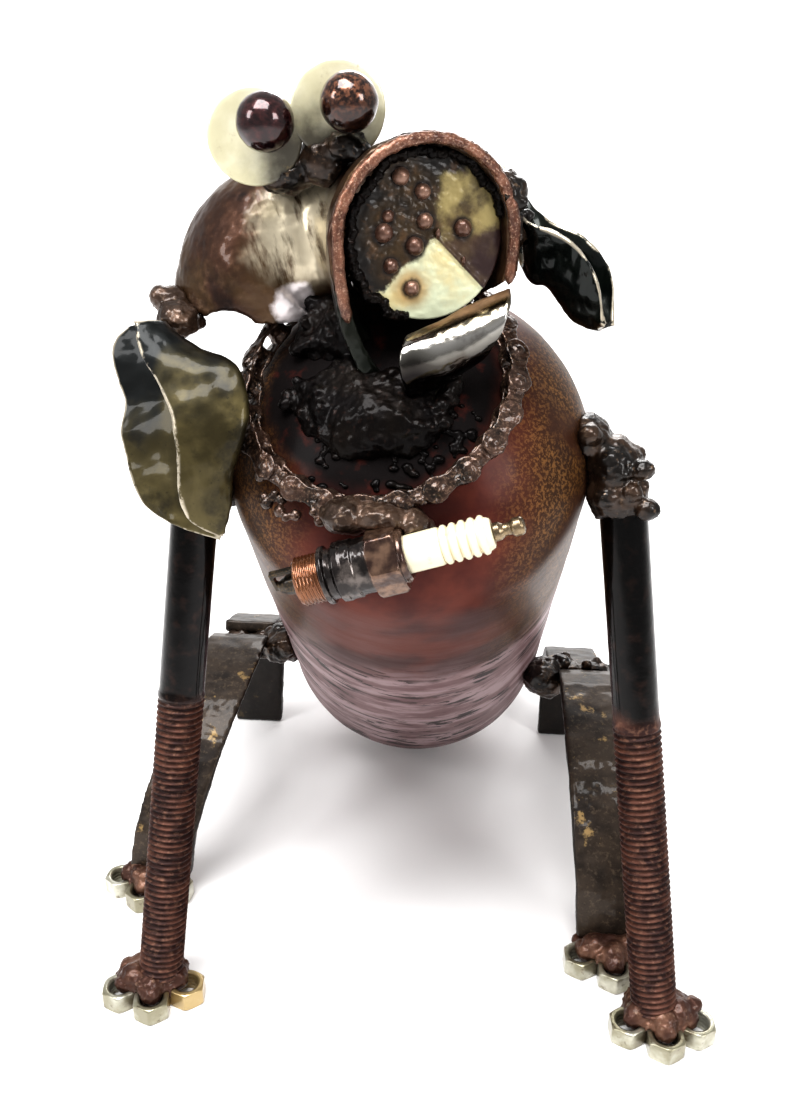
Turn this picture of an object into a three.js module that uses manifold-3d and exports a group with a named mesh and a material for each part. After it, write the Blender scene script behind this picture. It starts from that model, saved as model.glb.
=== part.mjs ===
// A dog made of welded scrap: a gas tank for a body, bolts for front legs, bent flat bar for hind
// legs, hex nuts for toes, a curved tube for a head, a roller chain for a collar and a spark plug
// for its tag.  Millimetres, +Z up, the dog faces -Y.  "left" and "right" are as seen from the front.

import * as THREE from 'three';
import { mergeVertices } from 'three/addons/utils/BufferGeometryUtils.js';
import Module from 'manifold-3d';

// ---------------------------------------------------------------- driving dimensions

const GAP = 0.45;                                  // clearance between two welded pieces

const TANK_RADIUS = 69.5;
const TANK_LOW = new THREE.Vector3(-7.8, 102, 75.2);     // centre of the lower dome's rim
const TANK_HIGH = new THREE.Vector3(-1.6, -48.3, 229.1); // centre of the upper dome's rim
const TANK_LOW_DOME = 74;
const TANK_HIGH_DOME = 50;

const COLLAR = { radius: 44.5, shiftX: 9.5, shiftDown: 5, corner: 6, height: 8, width: 7.5, steps: 48 };

const HEAD_WALL = 4;
const RIM_CENTRE = new THREE.Vector3(6.2, -76, 313.4);
const FACE_TURN = THREE.MathUtils.degToRad(24);   // the muzzle looks a little to the right
const DISC_RADIUS = 27.4;
const DISC_THICKNESS = 1.6;

const EYE_RADIUS = 9.5;
const EYE_DISC_RADIUS = 15.7;
const EYE_DISC_THICKNESS = 1.4;
const EYES = {
  right: {
    centre: new THREE.Vector3(-19.6, -74, 354.8),
    discOffset: new THREE.Vector3(-3.2, 0, -2.4),  // how far the disc sits from behind the ball
  },
  left: {
    centre: new THREE.Vector3(-46.2, -78, 349),
    discOffset: new THREE.Vector3(-4, 0, -4.8),
  },
};

const EAR_SHEET = 2.4;
const JAW_SHEET = 2.4;

const PLUG = {
  centre: new THREE.Vector3(0.5, -123.5, 219),
  rise: THREE.MathUtils.degToRad(17.5),            // its terminal is its high end
  length: 85, shell: 10.2, hexAcross: 20.8, thread: 8.6, insulator: 6.6, terminal: 3.1,
};

const BOLT_RADIUS = 9.5;
const BOLT_SHANK_RADIUS = 9;
const BOLT_THREAD_LENGTH = 127;
const FRONT_LEGS = {
  left: { foot: [-102.8, -102.5, 10.6], shoulder: [-80.4, -62.4, 229] },
  right: { foot: [105, -104.2, 10.6], shoulder: [78, -57, 229] },
};

const NUT = { across: 14.3, bore: 9.6, height: 8.3, ring: 17, spread: THREE.MathUtils.degToRad(55) };
const FEET = {
  front_left: { centre: [-106.2, -97.6], turn: 8 },
  front_right: { centre: [107.4, -98.6], turn: 4 },
  rear_left: { centre: [-124.5, -33.4], turn: -8 },
  rear_right: { centre: [91, -63.4], turn: 2 },
};

const BAR_THICKNESS = 6.4;
const SHIN_WIDTH = 30;
const HAUNCH_WIDTH = 28;
const SHIN_FOOT_Z = 9.6;                          // the shins end just above the toe nuts
const HIND_LEGS = {
  left: {
    toeX: -121, toeY: -39, kneeX: -97, kneeY: 45, kneeZ: 90, heelX: -103.5, heelY: 113,
    tail: 20, topX: -96, topZ: 85,
  },
  right: {
    toeX: 90.5, toeY: -64, kneeX: 83.5, kneeY: 32, kneeZ: 84, heelX: 78.8, heelY: 113,
    tail: 24, topX: 79, topZ: 72,
  },
};

// ---------------------------------------------------------------- materials

const finish = (colour, roughness, metalness) =>
  new THREE.MeshStandardMaterial({ color: colour, roughness, metalness });

const RUSTED_TANK = finish(0x5a3028, 0.35, 0.7);
const RUSTED_STEEL = finish(0x6b4030, 0.5, 0.7);
const WELD_METAL = finish(0x2a1e1a, 0.35, 0.8);
const DISC_STEEL = finish(0xb9b07c, 0.5, 0.5);
const CHROME = finish(0xc9c6bc, 0.12, 1);
const EYE_STEEL = finish(0x3a1518, 0.12, 0.8);
const WASHER_ZINC = finish(0xe6dfae, 0.4, 0.5);
const EAR_STEEL = finish(0x6e6640, 0.3, 0.85);
const EAR_DARK = finish(0x1e2420, 0.2, 0.9);
const CHAIN_STEEL = finish(0x33211a, 0.35, 0.8);
const PLUG_STEEL = finish(0x2f2826, 0.3, 0.85);
const PLUG_CERAMIC = finish(0xece3c4, 0.3, 0);
const PLUG_NOSE = finish(0x8a6a3a, 0.4, 0.8);
const BOLT_STEEL = finish(0x241c1a, 0.3, 0.85);
const BAR_STEEL = finish(0x4c4032, 0.45, 0.75);
const NUT_ZINC = finish(0xcfcca0, 0.35, 0.8);

// ---------------------------------------------------------------- solids

const wasm = await Module();
wasm.setup();

const welded = (geometry) => {
  const bare = geometry.index ? geometry.clone() : geometry;
  for (const name of ['normal', 'uv', 'color']) bare.deleteAttribute(name);
  return mergeVertices(bare, 1e-3);
};

const toSolid = (geometry) => {
  const bare = welded(geometry);
  return new wasm.Manifold(new wasm.Mesh({
    numProp: 3,
    vertProperties: new Float32Array(bare.attributes.position.array),
    triVerts: new Uint32Array(bare.index.array),
  }));
};

const toGeometry = (solid) => {
  const mesh = solid.getMesh();
  const geometry = new THREE.BufferGeometry();
  geometry.setAttribute('position', new THREE.BufferAttribute(mesh.vertProperties, 3));
  geometry.setIndex(new THREE.BufferAttribute(mesh.triVerts, 1));
  geometry.computeVertexNormals();
  return geometry;
};

/** The same shape with every point moved out along its normal. */
const grown = (geometry, distance = GAP) => {
  const bare = welded(geometry);
  bare.computeVertexNormals();
  const { position, normal } = bare.attributes;
  for (let i = 0; i < position.count; i += 1) {
    position.setXYZ(i,
      position.getX(i) + distance * normal.getX(i),
      position.getY(i) + distance * normal.getY(i),
      position.getZ(i) + distance * normal.getZ(i));
  }
  return bare;
};

const biggest = (solid) => solid.decompose().sort((a, b) => b.volume() - a.volume())[0];

/** The main body of a cut solid, once points closer than the merging distance are one. */
const largest = (solid) => biggest(toSolid(toGeometry(biggest(solid))));

/** What is left of a piece where its neighbours take their room and a small gap. */
const carve = (geometry, ...neighbours) => {
  let solid = toSolid(geometry);
  for (const neighbour of neighbours) solid = solid.subtract(toSolid(grown(neighbour)));
  return toGeometry(largest(solid));
};

const cut = (geometry, ...tools) => {
  let solid = toSolid(geometry);
  for (const tool of tools) solid = solid.subtract(toSolid(tool));
  return toGeometry(largest(solid));
};

const joined = (...geometries) => {
  let solid = toSolid(geometries[0]);
  for (const geometry of geometries.slice(1)) solid = solid.add(toSolid(geometry));
  return toGeometry(solid);
};

const vec = (x, y, z) => new THREE.Vector3(x, y, z);

/** Moves each vertex of a geometry to where a function puts it. */
const reshape = (geometry, place) => {
  const { position } = geometry.attributes;
  for (let i = 0; i < position.count; i += 1) {
    const moved = place(vec(position.getX(i), position.getY(i), position.getZ(i)));
    position.setXYZ(i, moved.x, moved.y, moved.z);
  }
  return geometry;
};

/** Turns a geometry's Y axis to a direction and moves its origin to a point. */
const aim = (geometry, origin, direction) => {
  const turn = new THREE.Quaternion().setFromUnitVectors(vec(0, 1, 0), direction.clone().normalize());
  return geometry.applyQuaternion(turn).translate(origin.x, origin.y, origin.z);
};

const lathe = (profile, segments) =>
  new THREE.LatheGeometry(profile.map(([r, y]) => new THREE.Vector2(r, y)), segments);

const group = new THREE.Group();
const pieces = {};
const add = (name, geometry, material) => {
  const mesh = new THREE.Mesh(geometry, material);
  mesh.name = name;
  group.add(mesh);
  pieces[name] = geometry;
  return geometry;
};

// ---------------------------------------------------------------- body tank

const tankAxis = TANK_HIGH.clone().sub(TANK_LOW).normalize();
const tankLength = TANK_HIGH.distanceTo(TANK_LOW);
const tankRight = vec(1, 0, 0).addScaledVector(tankAxis, -tankAxis.x).normalize();
const tankDown = tankRight.clone().cross(tankAxis);

const domeProfile = (depth, base, side, steps = 6) =>
  Array.from({ length: steps }, (_, i) => {
    const angle = (i / steps) * (Math.PI / 2);
    return [TANK_RADIUS * Math.cos(angle), base + side * depth * Math.sin(angle)];
  });

const tankProfile = () => [
  [0, -TANK_LOW_DOME],
  ...domeProfile(TANK_LOW_DOME, 0, -1).reverse(),
  ...domeProfile(TANK_HIGH_DOME, tankLength, 1),
  [0, tankLength + TANK_HIGH_DOME],
];

add('body_tank', aim(lathe(tankProfile(), 32), TANK_LOW, tankAxis), RUSTED_TANK);

/** A point on the upper dome, at a distance from the tank's axis and an angle round it. */
const onDome = (radius, angle, lift) => {
  const along = TANK_HIGH_DOME * Math.sqrt(1 - (radius / TANK_RADIUS) ** 2);
  const outward = tankRight.clone().multiplyScalar(Math.sin(angle))
    .addScaledVector(tankDown, Math.cos(angle));
  const normal = outward.clone().multiplyScalar(radius / TANK_RADIUS ** 2)
    .addScaledVector(tankAxis, along / TANK_HIGH_DOME ** 2).normalize();
  return TANK_HIGH.clone().addScaledVector(tankAxis, along)
    .addScaledVector(outward, radius).addScaledVector(normal, lift);
};

// ---------------------------------------------------------------- lumps of weld

/** A lump of weld metal: a ball pulled to a size, with low waves on it. */
const lump = ([x, y, z], [rx, ry, rz], seed = 0, columns = 7, rows = 5) =>
  reshape(new THREE.SphereGeometry(1, columns, rows), (p) => {
    const wave = 1 + 0.07 * Math.sin(5 * p.x + seed) * Math.cos(4 * p.z - seed)
      + 0.05 * Math.sin(6 * p.y + 2 * seed);
    return vec(x + rx * p.x * wave, y + ry * p.y * wave, z + rz * p.z * wave);
  });

// ---------------------------------------------------------------- head

const headPath = new THREE.CatmullRomCurve3([
  RIM_CENTRE,
  RIM_CENTRE.clone().add(vec(-Math.sin(FACE_TURN) * 22, Math.cos(FACE_TURN) * 22, 0)),
  vec(-27, -36, 309),
  vec(-51, -31, 300),
  vec(-62, -33, 275),
]);

const HEAD_RADII = [[0, 33], [0.06, 32.8], [0.2, 30], [0.42, 26.5], [0.6, 30], [0.8, 34.5], [1, 33]];
const HEAD_ROWS = 11;
const HEAD_SIDES = 24;
const JOWL_STRETCH = 0.85;                         // how far the muzzle's sides hang below a circle

const blendTable = (table, s) => {
  const i = Math.max(1, table.findIndex(([at]) => at >= s));
  const [[s0, v0], [s1, v1]] = [table[i - 1], table[i]];
  return v0 + (v1 - v0) * THREE.MathUtils.smoothstep(s, s0, s1);
};

/** Bends a straight turned form, one unit of height a row, along the head's curve. */
const alongHead = (profile) => {
  const frames = headPath.computeFrenetFrames(HEAD_ROWS, false);
  return reshape(lathe(profile, HEAD_SIDES), (p) => {
    const row = Math.round(p.y);
    const offset = frames.normals[row].clone().multiplyScalar(p.x)
      .addScaledVector(frames.binormals[row], -p.z);
    const stretch = 1 + JOWL_STRETCH * (1 - THREE.MathUtils.smoothstep(row / HEAD_ROWS, 0.1, 0.5));
    if (offset.z < 0) offset.z *= stretch;
    return headPath.getPointAt(row / HEAD_ROWS).add(offset);
  });
};

const headRing = (row, inset) => [blendTable(HEAD_RADII, row / HEAD_ROWS) - inset, row];
const headRows = Array.from({ length: HEAD_ROWS + 1 }, (_, row) => row);
const headOuter = headRows.map((row) => headRing(row, 0));
const headInner = headRows.map((row) => headRing(HEAD_ROWS - row, HEAD_WALL));
const headTube = alongHead([...headOuter, ...headInner, headOuter[0]]);
const headFilled = alongHead([[0, 0], ...headOuter, [0, HEAD_ROWS]]);

const boxTool = (size, centre, rotation) => {
  const box = new THREE.BoxGeometry(...size);
  const turn = new THREE.Euler(...rotation.map(THREE.MathUtils.degToRad));
  return box.applyMatrix4(new THREE.Matrix4().makeRotationFromEuler(turn)).translate(...centre);
};

const mouthCut = boxTool([150, 70, 60], [25, -82, 252], [0, -40, 24]);
const skullCut = boxTool([70, 120, 60], [-72, -30, 251], [0, 0, 0]);
const archCut = new THREE.CylinderGeometry(13, 13, 120, 20).translate(-66, -40, 272.5);
const throatCut = boxTool([60, 60, 40], [-22, -40, 257], [0, 0, 0]);

const headRoom = cut(headFilled, mouthCut);          // what the neck leaves free
const headShell = cut(headTube, mouthCut, skullCut, archCut, throatCut);
add('head_shell', carve(headShell, pieces.body_tank), RUSTED_STEEL);

const faceDirection = vec(Math.sin(FACE_TURN), -Math.cos(FACE_TURN), 0.06).normalize();

const noseDisc = aim(new THREE.CylinderGeometry(DISC_RADIUS, DISC_RADIUS, DISC_THICKNESS, 40),
  vec(5.4, -70.5, 313), faceDirection);
add('nose_disc', carve(noseDisc, pieces.head_shell), DISC_STEEL);

/** A sheet bent over a middle line, from one edge to another; each of the three is given by points. */
const bentSheet = (thickness, lines, across, down) => {
  const edges = lines.map((points) => new THREE.CatmullRomCurve3(points.map((p) => vec(...p))));
  const surface = (u, v) => {
    const [first, middle, last] = edges.map((edge) => edge.getPoint(v));
    const bend = middle.multiplyScalar(2).addScaledVector(first, -0.5).addScaledVector(last, -0.5);
    return first.multiplyScalar((1 - u) ** 2)
      .addScaledVector(bend, 2 * u * (1 - u))
      .addScaledVector(last, u ** 2);
  };
  const step = 0.01;
  return reshape(new THREE.BoxGeometry(1, 1, 1, across, down, 1), (p) => {
    const u = THREE.MathUtils.clamp(p.x + 0.5, step, 1 - step);
    const v = THREE.MathUtils.clamp(p.y + 0.5, step, 1 - step);
    const alongU = surface(u + step, v).sub(surface(u - step, v));
    const alongV = surface(u, v + step).sub(surface(u, v - step));
    const normal = alongU.cross(alongV).normalize();
    return surface(p.x + 0.5, p.y + 0.5).addScaledVector(normal, p.z * thickness);
  });
};

const lowerJaw = bentSheet(JAW_SHEET, [
  [[0, -84, 282], [11, -83, 287], [22, -81, 293], [34, -80, 298]],
  [[-2, -94, 276], [10, -93, 279], [23, -92, 284], [33, -90, 290]],
  [[1, -90, 263], [8, -88, 265], [17, -86, 270], [26, -84, 276]],
], 9, 8);
add('lower_jaw', carve(lowerJaw, pieces.body_tank, pieces.head_shell, pieces.nose_disc), CHROME);

// ---------------------------------------------------------------- eyes

const EYE_VIEW = vec(0.16, -1, 0.02).normalize();   // where both eyes look
for (const [side, { centre, discOffset }] of Object.entries(EYES)) {
  const seat = centre.clone().add(discOffset)
    .addScaledVector(EYE_VIEW, -(EYE_RADIUS + EYE_DISC_THICKNESS / 2 + GAP));
  const ball = new THREE.SphereGeometry(EYE_RADIUS, 16, 10).translate(...centre.toArray());
  const disc = new THREE.CylinderGeometry(EYE_DISC_RADIUS, EYE_DISC_RADIUS, EYE_DISC_THICKNESS, 28);
  const earlier = pieces.eye_disc_right ? [pieces.eye_disc_right] : [];
  add(`eye_ball_${side}`, ball, EYE_STEEL);
  add(`eye_disc_${side}`, carve(aim(disc, seat, EYE_VIEW), pieces.head_shell, ...earlier), WASHER_ZINC);
}

const eyeWeld = joined(
  lump([-43, -60, 332], [11, 8, 8], 1),
  lump([-30, -62, 336], [9, 8, 9], 2),
  lump([-22, -64, 341], [8, 7, 6], 3),
);
const eyes = ['eye_ball_left', 'eye_ball_right', 'eye_disc_left', 'eye_disc_right'].map((n) => pieces[n]);
add('eye_weld', carve(eyeWeld, headFilled, ...eyes), WELD_METAL);

// ---------------------------------------------------------------- ears

add('ear_left', bentSheet(EAR_SHEET, [
  [[-95, -80, 285], [-92, -86, 276], [-85, -92, 266], [-79, -98, 257], [-77, -101, 247], [-77, -103, 234],
    [-75, -102, 222], [-65, -98, 212]],
  [[-88, -70, 283], [-74, -77, 274], [-60, -84, 271], [-55, -90, 260], [-57, -94, 251], [-60, -96, 239],
    [-62, -97, 225], [-64, -98, 213]],
  [[-102, -62, 279], [-108, -64, 273], [-108, -67, 265], [-104, -71, 253], [-105, -75, 243], [-101, -81, 230],
    [-94, -89, 219], [-65, -98, 211]],
], 8, 14), EAR_STEEL);
add('ear_right', bentSheet(EAR_SHEET, [
  [[35, -56, 321], [40, -60, 317], [47, -63, 315], [55, -66, 311],
    [61, -67, 304], [65, -67, 295], [67, -66, 283]],
  [[38, -50, 302], [42, -52, 296], [46, -54, 295], [52, -55, 290],
    [57, -56, 284], [62, -58, 282], [67, -60, 281]],
  [[26, -38, 335], [32, -39, 332], [37, -41, 325], [46, -42, 316],
    [60, -46, 310], [70, -51, 298], [71, -58, 282]],
], 8, 12), EAR_DARK);

const earWeldLeft = joined(
  lump([-84, -60, 282], [9, 9, 8], 4),
  lump([-88, -54, 287], [7, 8, 6], 5),
);
add('ear_weld_left', carve(earWeldLeft, headFilled, pieces.ear_left), WELD_METAL);
const earWeldRight = joined(lump([31, -58, 326], [9, 8, 9], 7), lump([33, -56, 314], [8, 8, 8], 8));
const earRoomRight = carve(earWeldRight, headFilled, pieces.ear_right);
add('ear_weld_right', cut(earRoomRight, pieces.ear_right), WELD_METAL);

// ---------------------------------------------------------------- collar and spark plug

const collarPoint = (angle) => {
  const cornerOffset = angle + Math.PI / 4;
  const radius = COLLAR.radius - COLLAR.shiftX * Math.sin(angle) - COLLAR.shiftDown * Math.cos(angle)
    + COLLAR.corner * Math.exp(-((cornerOffset / 0.35) ** 2));
  return onDome(radius, angle, COLLAR.height / 2 + 1.2);
};

const collarChain = () => {
  const points = Array.from({ length: 40 }, (_, i) => collarPoint(-Math.PI + (i / 40) * 2 * Math.PI));
  const path = new THREE.CatmullRomCurve3(points, true);
  const section = new THREE.Shape().absellipse(0, 0, COLLAR.height / 2, COLLAR.width / 2, 0, 2 * Math.PI);
  return new THREE.ExtrudeGeometry(section, { steps: COLLAR.steps, extrudePath: path, curveSegments: 4 });
};
add('collar_chain', carve(collarChain(), pieces.body_tank, headRoom), CHAIN_STEEL);

const plugAxis = vec(Math.cos(PLUG.rise), 0.01, Math.sin(PLUG.rise)).normalize();
const plugStart = PLUG.centre.clone().addScaledVector(plugAxis, -PLUG.length / 2);
const onPlug = (geometry) => aim(geometry, plugStart, plugAxis);

const plugShell = () => {
  const { shell, thread } = PLUG;
  const barrel = lathe([[0, 8], [thread, 8], [thread, 17], [shell - 1.4, 18], [shell - 0.6, 22],
    [shell - 1.4, 24], [shell, 26], [shell, 35], [0, 35]], 20);
  const hex = new THREE.CylinderGeometry(PLUG.hexAcross / Math.sqrt(3), PLUG.hexAcross / Math.sqrt(3), 10, 6)
    .translate(0, 39, 0);
  const seat = lathe([[0, 34], [8.6, 34], [8.6, 46], [0, 46]], 20);
  return onPlug(joined(barrel, hex, seat));
};
const insulatorProfile = () => {
  const ribs = Array.from({ length: 5 }, (_, i) => 58 + i * 3.1)
    .flatMap((y) => [[PLUG.insulator, y], [PLUG.insulator, y + 1.7], [5.7, y + 2.2], [5.7, y + 2.8]]);
  return [[0, 46.3], [6.4, 46.3], [6.4, 57.4], ...ribs, [4.4, 74.5], [0, 74.5]];
};
const terminalProfile = [[0, 74.8], [PLUG.terminal, 74.8], [PLUG.terminal, 77], [2.3, 78], [2.3, 80.4],
  [PLUG.terminal, 81.4], [PLUG.terminal, 84], [2.2, 85], [0, 85]];
const electrode = joined(
  lathe([[0, 0.6], [2, 1.2], [3.4, 4], [3.8, 7.7], [0, 7.7]], 12),
  new THREE.BoxGeometry(2.6, 8.2, 1.4).translate(0, 3.6, 6),
  new THREE.BoxGeometry(2.6, 1.4, 7.4).translate(0, 0.2, 3),
);
add('plug_shell', plugShell(), PLUG_STEEL);
add('plug_insulator', onPlug(lathe(insulatorProfile(), 12)), PLUG_CERAMIC);
add('plug_terminal', onPlug(lathe(terminalProfile, 10)), PLUG_NOSE);
add('plug_electrode', onPlug(electrode), PLUG_NOSE);

const plugWeld = joined(
  lump([-17, -113, 229], [10, 9, 7], 1),
  lump([-6, -113, 229], [10, 9, 7], 3),
  lump([4, -114, 226], [7, 9, 7], 5),
);
add('plug_weld', carve(plugWeld, pieces.body_tank, pieces.collar_chain, pieces.plug_shell,
  pieces.plug_insulator), WELD_METAL);

// ---------------------------------------------------------------- neck

const neckLumps = joined(
  lump([-8, -73, 250], [37, 28, 24], 1, 10, 7),
  lump([-13, -53, 275], [26, 23, 21], 3, 10, 7),
  lump([-25, -44, 271], [28, 26, 25], 4, 10, 7),
);
const neckRoom = carve(neckLumps, pieces.body_tank, pieces.collar_chain, headRoom,
  pieces.lower_jaw);
add('neck', cut(neckRoom, pieces.lower_jaw, pieces.head_shell), WELD_METAL);

// ---------------------------------------------------------------- front legs

const frontLeg = ({ foot, shoulder }) => {
  const [low, high] = [vec(...foot), vec(...shoulder)];
  const length = low.distanceTo(high);
  const profile = [[0, 0], [BOLT_RADIUS - 1, 0], [BOLT_RADIUS, 1.2], [BOLT_RADIUS, BOLT_THREAD_LENGTH],
    [BOLT_SHANK_RADIUS, BOLT_THREAD_LENGTH + 2], [BOLT_SHANK_RADIUS, length], [0, length]];
  return aim(lathe(profile, 24), low, high.sub(low));
};

for (const [side, ends] of Object.entries(FRONT_LEGS)) {
  const sign = side === 'left' ? -1 : 1;
  add(`front_leg_${side}`, carve(frontLeg(ends), pieces.body_tank), BOLT_STEEL);
  const [x, y, z] = ends.shoulder;
  const weld = joined(
    lump([x - sign, y - 3, z - 9], [12.5, 14, 12], 1 + sign),
    lump([x - 3 * sign, y - 1, z + 2], [12.5, 13, 12], 3 + sign),
    lump([x - 13 * sign, y + 2, z + 11], [9, 12, 9], 5 + sign),
  );
  const around = [pieces.body_tank, pieces[`front_leg_${side}`], pieces.ear_left];
  add(`shoulder_weld_${side}`, carve(weld, ...around), WELD_METAL);
}

// ---------------------------------------------------------------- hind legs

/** A flat bar bent along a curve in the side plane, standing on its edge, its width along X. */
const bentBar = (curve, width, steps) => {
  const samples = curve.getSpacedPoints(steps);
  const sideways = samples.map((_, i) => {
    const tangent = curve.getTangentAt(i / steps);
    return new THREE.Vector2(-tangent.y, tangent.x).multiplyScalar(BAR_THICKNESS / 2);
  });
  const outline = [
    ...samples.map((p, i) => p.clone().add(sideways[i])),
    ...samples.map((p, i) => p.clone().sub(sideways[i])).reverse(),
  ];
  const bar = new THREE.ExtrudeGeometry(new THREE.Shape(outline), { depth: width, bevelEnabled: false });
  return bar.translate(0, 0, -width / 2)
    .applyMatrix4(new THREE.Matrix4().makeBasis(vec(0, 1, 0), vec(0, 0, 1), vec(1, 0, 0)));
};

/** The shin rises from the toes as a quarter of an ellipse and tips over the knee. */
const shinCurve = ({ toeY, kneeY, kneeZ, tail }) => {
  const reach = kneeY - toeY;
  const rise = kneeZ - SHIN_FOOT_Z;
  const quarter = Array.from({ length: 8 }, (_, i) => {
    const angle = (i / 7) * (Math.PI / 2);
    return new THREE.Vector2(kneeY - reach * Math.cos(angle), SHIN_FOOT_Z + rise * Math.sin(angle));
  });
  return new THREE.SplineCurve([...quarter, new THREE.Vector2(kneeY + tail, kneeZ - tail * 0.45)]);
};

/** The haunch stands up from the heel and bends forward to the knee. */
const haunchCurve = ({ heelY, kneeY, topZ, tail }) => new THREE.SplineCurve([
  new THREE.Vector2(heelY, 0),
  new THREE.Vector2(heelY + 1, 26),
  new THREE.Vector2(heelY - 1, 50),
  new THREE.Vector2(heelY - 9, topZ - 12),
  new THREE.Vector2(kneeY + tail + 7, topZ),
]);

/** Carries a bar sideways from one X at the floor to another at a height, most of it near the top. */
const slantX = (geometry, lowX, highX, height) =>
  reshape(geometry, (p) => {
    const share = THREE.MathUtils.clamp(p.z / height, 0, 1) ** 1.8;
    return p.setX(p.x + lowX + (highX - lowX) * share);
  });

for (const [side, leg] of Object.entries(HIND_LEGS)) {
  const sign = side === 'left' ? -1 : 1;
  const shinBar = bentBar(shinCurve(leg), SHIN_WIDTH, 14);
  const haunchBar = bentBar(haunchCurve(leg), HAUNCH_WIDTH, 10);
  const shin = slantX(shinBar, leg.toeX, leg.kneeX, leg.kneeZ);
  const haunch = slantX(haunchBar, leg.heelX, leg.topX, leg.topZ);
  const underfoot = boxTool([80, 80, 20], [leg.heelX, leg.heelY, -10], [0, 0, 0]);
  add(`haunch_bar_${side}`, cut(carve(haunch, pieces.body_tank), underfoot), BAR_STEEL);
  add(`shin_bar_${side}`, carve(shin, pieces.body_tank, pieces[`haunch_bar_${side}`]), BAR_STEEL);
  const bars = [pieces[`haunch_bar_${side}`], pieces[`shin_bar_${side}`]];
  const kneeWeld = joined(
    lump([leg.kneeX - 7 * sign, leg.kneeY + leg.tail + 4, leg.kneeZ - 12], [9, 10, 6], 2),
    lump([leg.kneeX + 5 * sign, leg.kneeY + leg.tail + 4, leg.kneeZ - 11], [9, 10, 6], 4),
  );
  add(`knee_weld_${side}`, carve(kneeWeld, pieces.body_tank, ...bars), WELD_METAL);
  const hipX = leg.kneeX - 17 * sign;
  const hipWeld = joined(
    lump([hipX - 3 * sign, leg.kneeY + 16, leg.kneeZ - 8], [11, 14, 10], 3),
    lump([hipX - 5 * sign, leg.kneeY + 28, leg.kneeZ - 14], [11, 13, 10], 5),
    lump([hipX - 7 * sign, leg.kneeY + 11, leg.kneeZ - 4], [9, 10, 8], 6),
  );
  const around = [...bars, pieces[`knee_weld_${side}`]];
  const hipRoom = carve(hipWeld, pieces.body_tank, ...around);
  add(`hip_weld_${side}`, cut(hipRoom, ...around), WELD_METAL);
}

// ---------------------------------------------------------------- feet

const hexPrism = () => {
  const radius = NUT.across / Math.sqrt(3);
  const prism = new THREE.CylinderGeometry(radius, radius, NUT.height, 6).translate(0, NUT.height / 2, 0);
  return prism.rotateX(Math.PI / 2).rotateZ(Math.PI / 6);
};
const nutBore = new THREE.CylinderGeometry(NUT.bore / 2, NUT.bore / 2, NUT.height * 3, 14)
  .rotateX(Math.PI / 2);
const hexNut = () => cut(hexPrism(), nutBore);

for (const [foot, { centre, turn }] of Object.entries(FEET)) {
  const nuts = [-1, 0, 1].map((step, index) => {
    const angle = step * NUT.spread + THREE.MathUtils.degToRad(turn);
    const [x, y] = [centre[0] + NUT.ring * Math.sin(angle), centre[1] - NUT.ring * Math.cos(angle)];
    const place = (nut) => nut.rotateZ(THREE.MathUtils.degToRad(turn)).translate(x, y, 0);
    add(`toe_nut_${foot}_${index + 1}`, place(hexNut()), NUT_ZINC);
    return place(hexPrism());
  });
  const weld = lump([centre[0], centre[1] - 4, 7.6], [16, 13, 7.4], 2, 10, 7);
  const limb = foot.replace('front', 'front_leg').replace('rear', 'shin_bar');
  add(`foot_weld_${foot}`, carve(weld, ...nuts, pieces[limb]), WELD_METAL);
}

// ---------------------------------------------------------------- standing place

const bounds = new THREE.Box3();
for (const geometry of Object.values(pieces)) {
  geometry.computeBoundingBox();
  bounds.union(geometry.boundingBox);
}
const middle = bounds.getCenter(vec(0, 0, 0));
group.position.set(-middle.x, -middle.y, -bounds.min.z);

export default group;
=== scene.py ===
"""The looks of a scrap metal dog: its welded, rusty and lacquered pieces, made round the CAD frame."""

import math

import bmesh
import bpy
import numpy as np
from mathutils import Matrix, Vector, noise
from mathutils.bvhtree import BVHTree


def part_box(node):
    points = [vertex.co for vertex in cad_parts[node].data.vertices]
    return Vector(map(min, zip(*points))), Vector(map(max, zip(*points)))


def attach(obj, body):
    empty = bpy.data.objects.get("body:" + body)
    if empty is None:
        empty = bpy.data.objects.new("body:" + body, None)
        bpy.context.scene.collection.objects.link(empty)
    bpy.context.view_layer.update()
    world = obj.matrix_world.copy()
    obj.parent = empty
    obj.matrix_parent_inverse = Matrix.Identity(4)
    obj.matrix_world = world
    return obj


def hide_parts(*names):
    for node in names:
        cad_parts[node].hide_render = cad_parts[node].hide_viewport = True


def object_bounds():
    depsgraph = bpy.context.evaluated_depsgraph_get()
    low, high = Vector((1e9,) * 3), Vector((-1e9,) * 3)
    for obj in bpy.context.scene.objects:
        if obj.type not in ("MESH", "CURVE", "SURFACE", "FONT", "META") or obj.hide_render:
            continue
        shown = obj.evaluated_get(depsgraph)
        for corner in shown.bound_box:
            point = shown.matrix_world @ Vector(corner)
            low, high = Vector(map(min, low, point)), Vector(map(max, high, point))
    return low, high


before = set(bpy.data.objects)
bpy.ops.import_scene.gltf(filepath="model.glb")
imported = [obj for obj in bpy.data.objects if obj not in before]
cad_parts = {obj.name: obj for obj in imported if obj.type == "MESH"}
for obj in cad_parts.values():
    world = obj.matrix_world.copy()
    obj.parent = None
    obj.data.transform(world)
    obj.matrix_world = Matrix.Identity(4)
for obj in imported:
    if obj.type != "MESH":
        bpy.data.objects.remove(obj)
cad_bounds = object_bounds()

MM = 0.001


# ------------------------------------------------------------------ places, from the frame

def corner(node, which):
    """The lowest (0) or highest (1) corner of a CAD node."""
    return Vector(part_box(node)[which])


def middle(node):
    """The middle of a CAD node's box."""
    return (corner(node, 0) + corner(node, 1)) / 2


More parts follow.
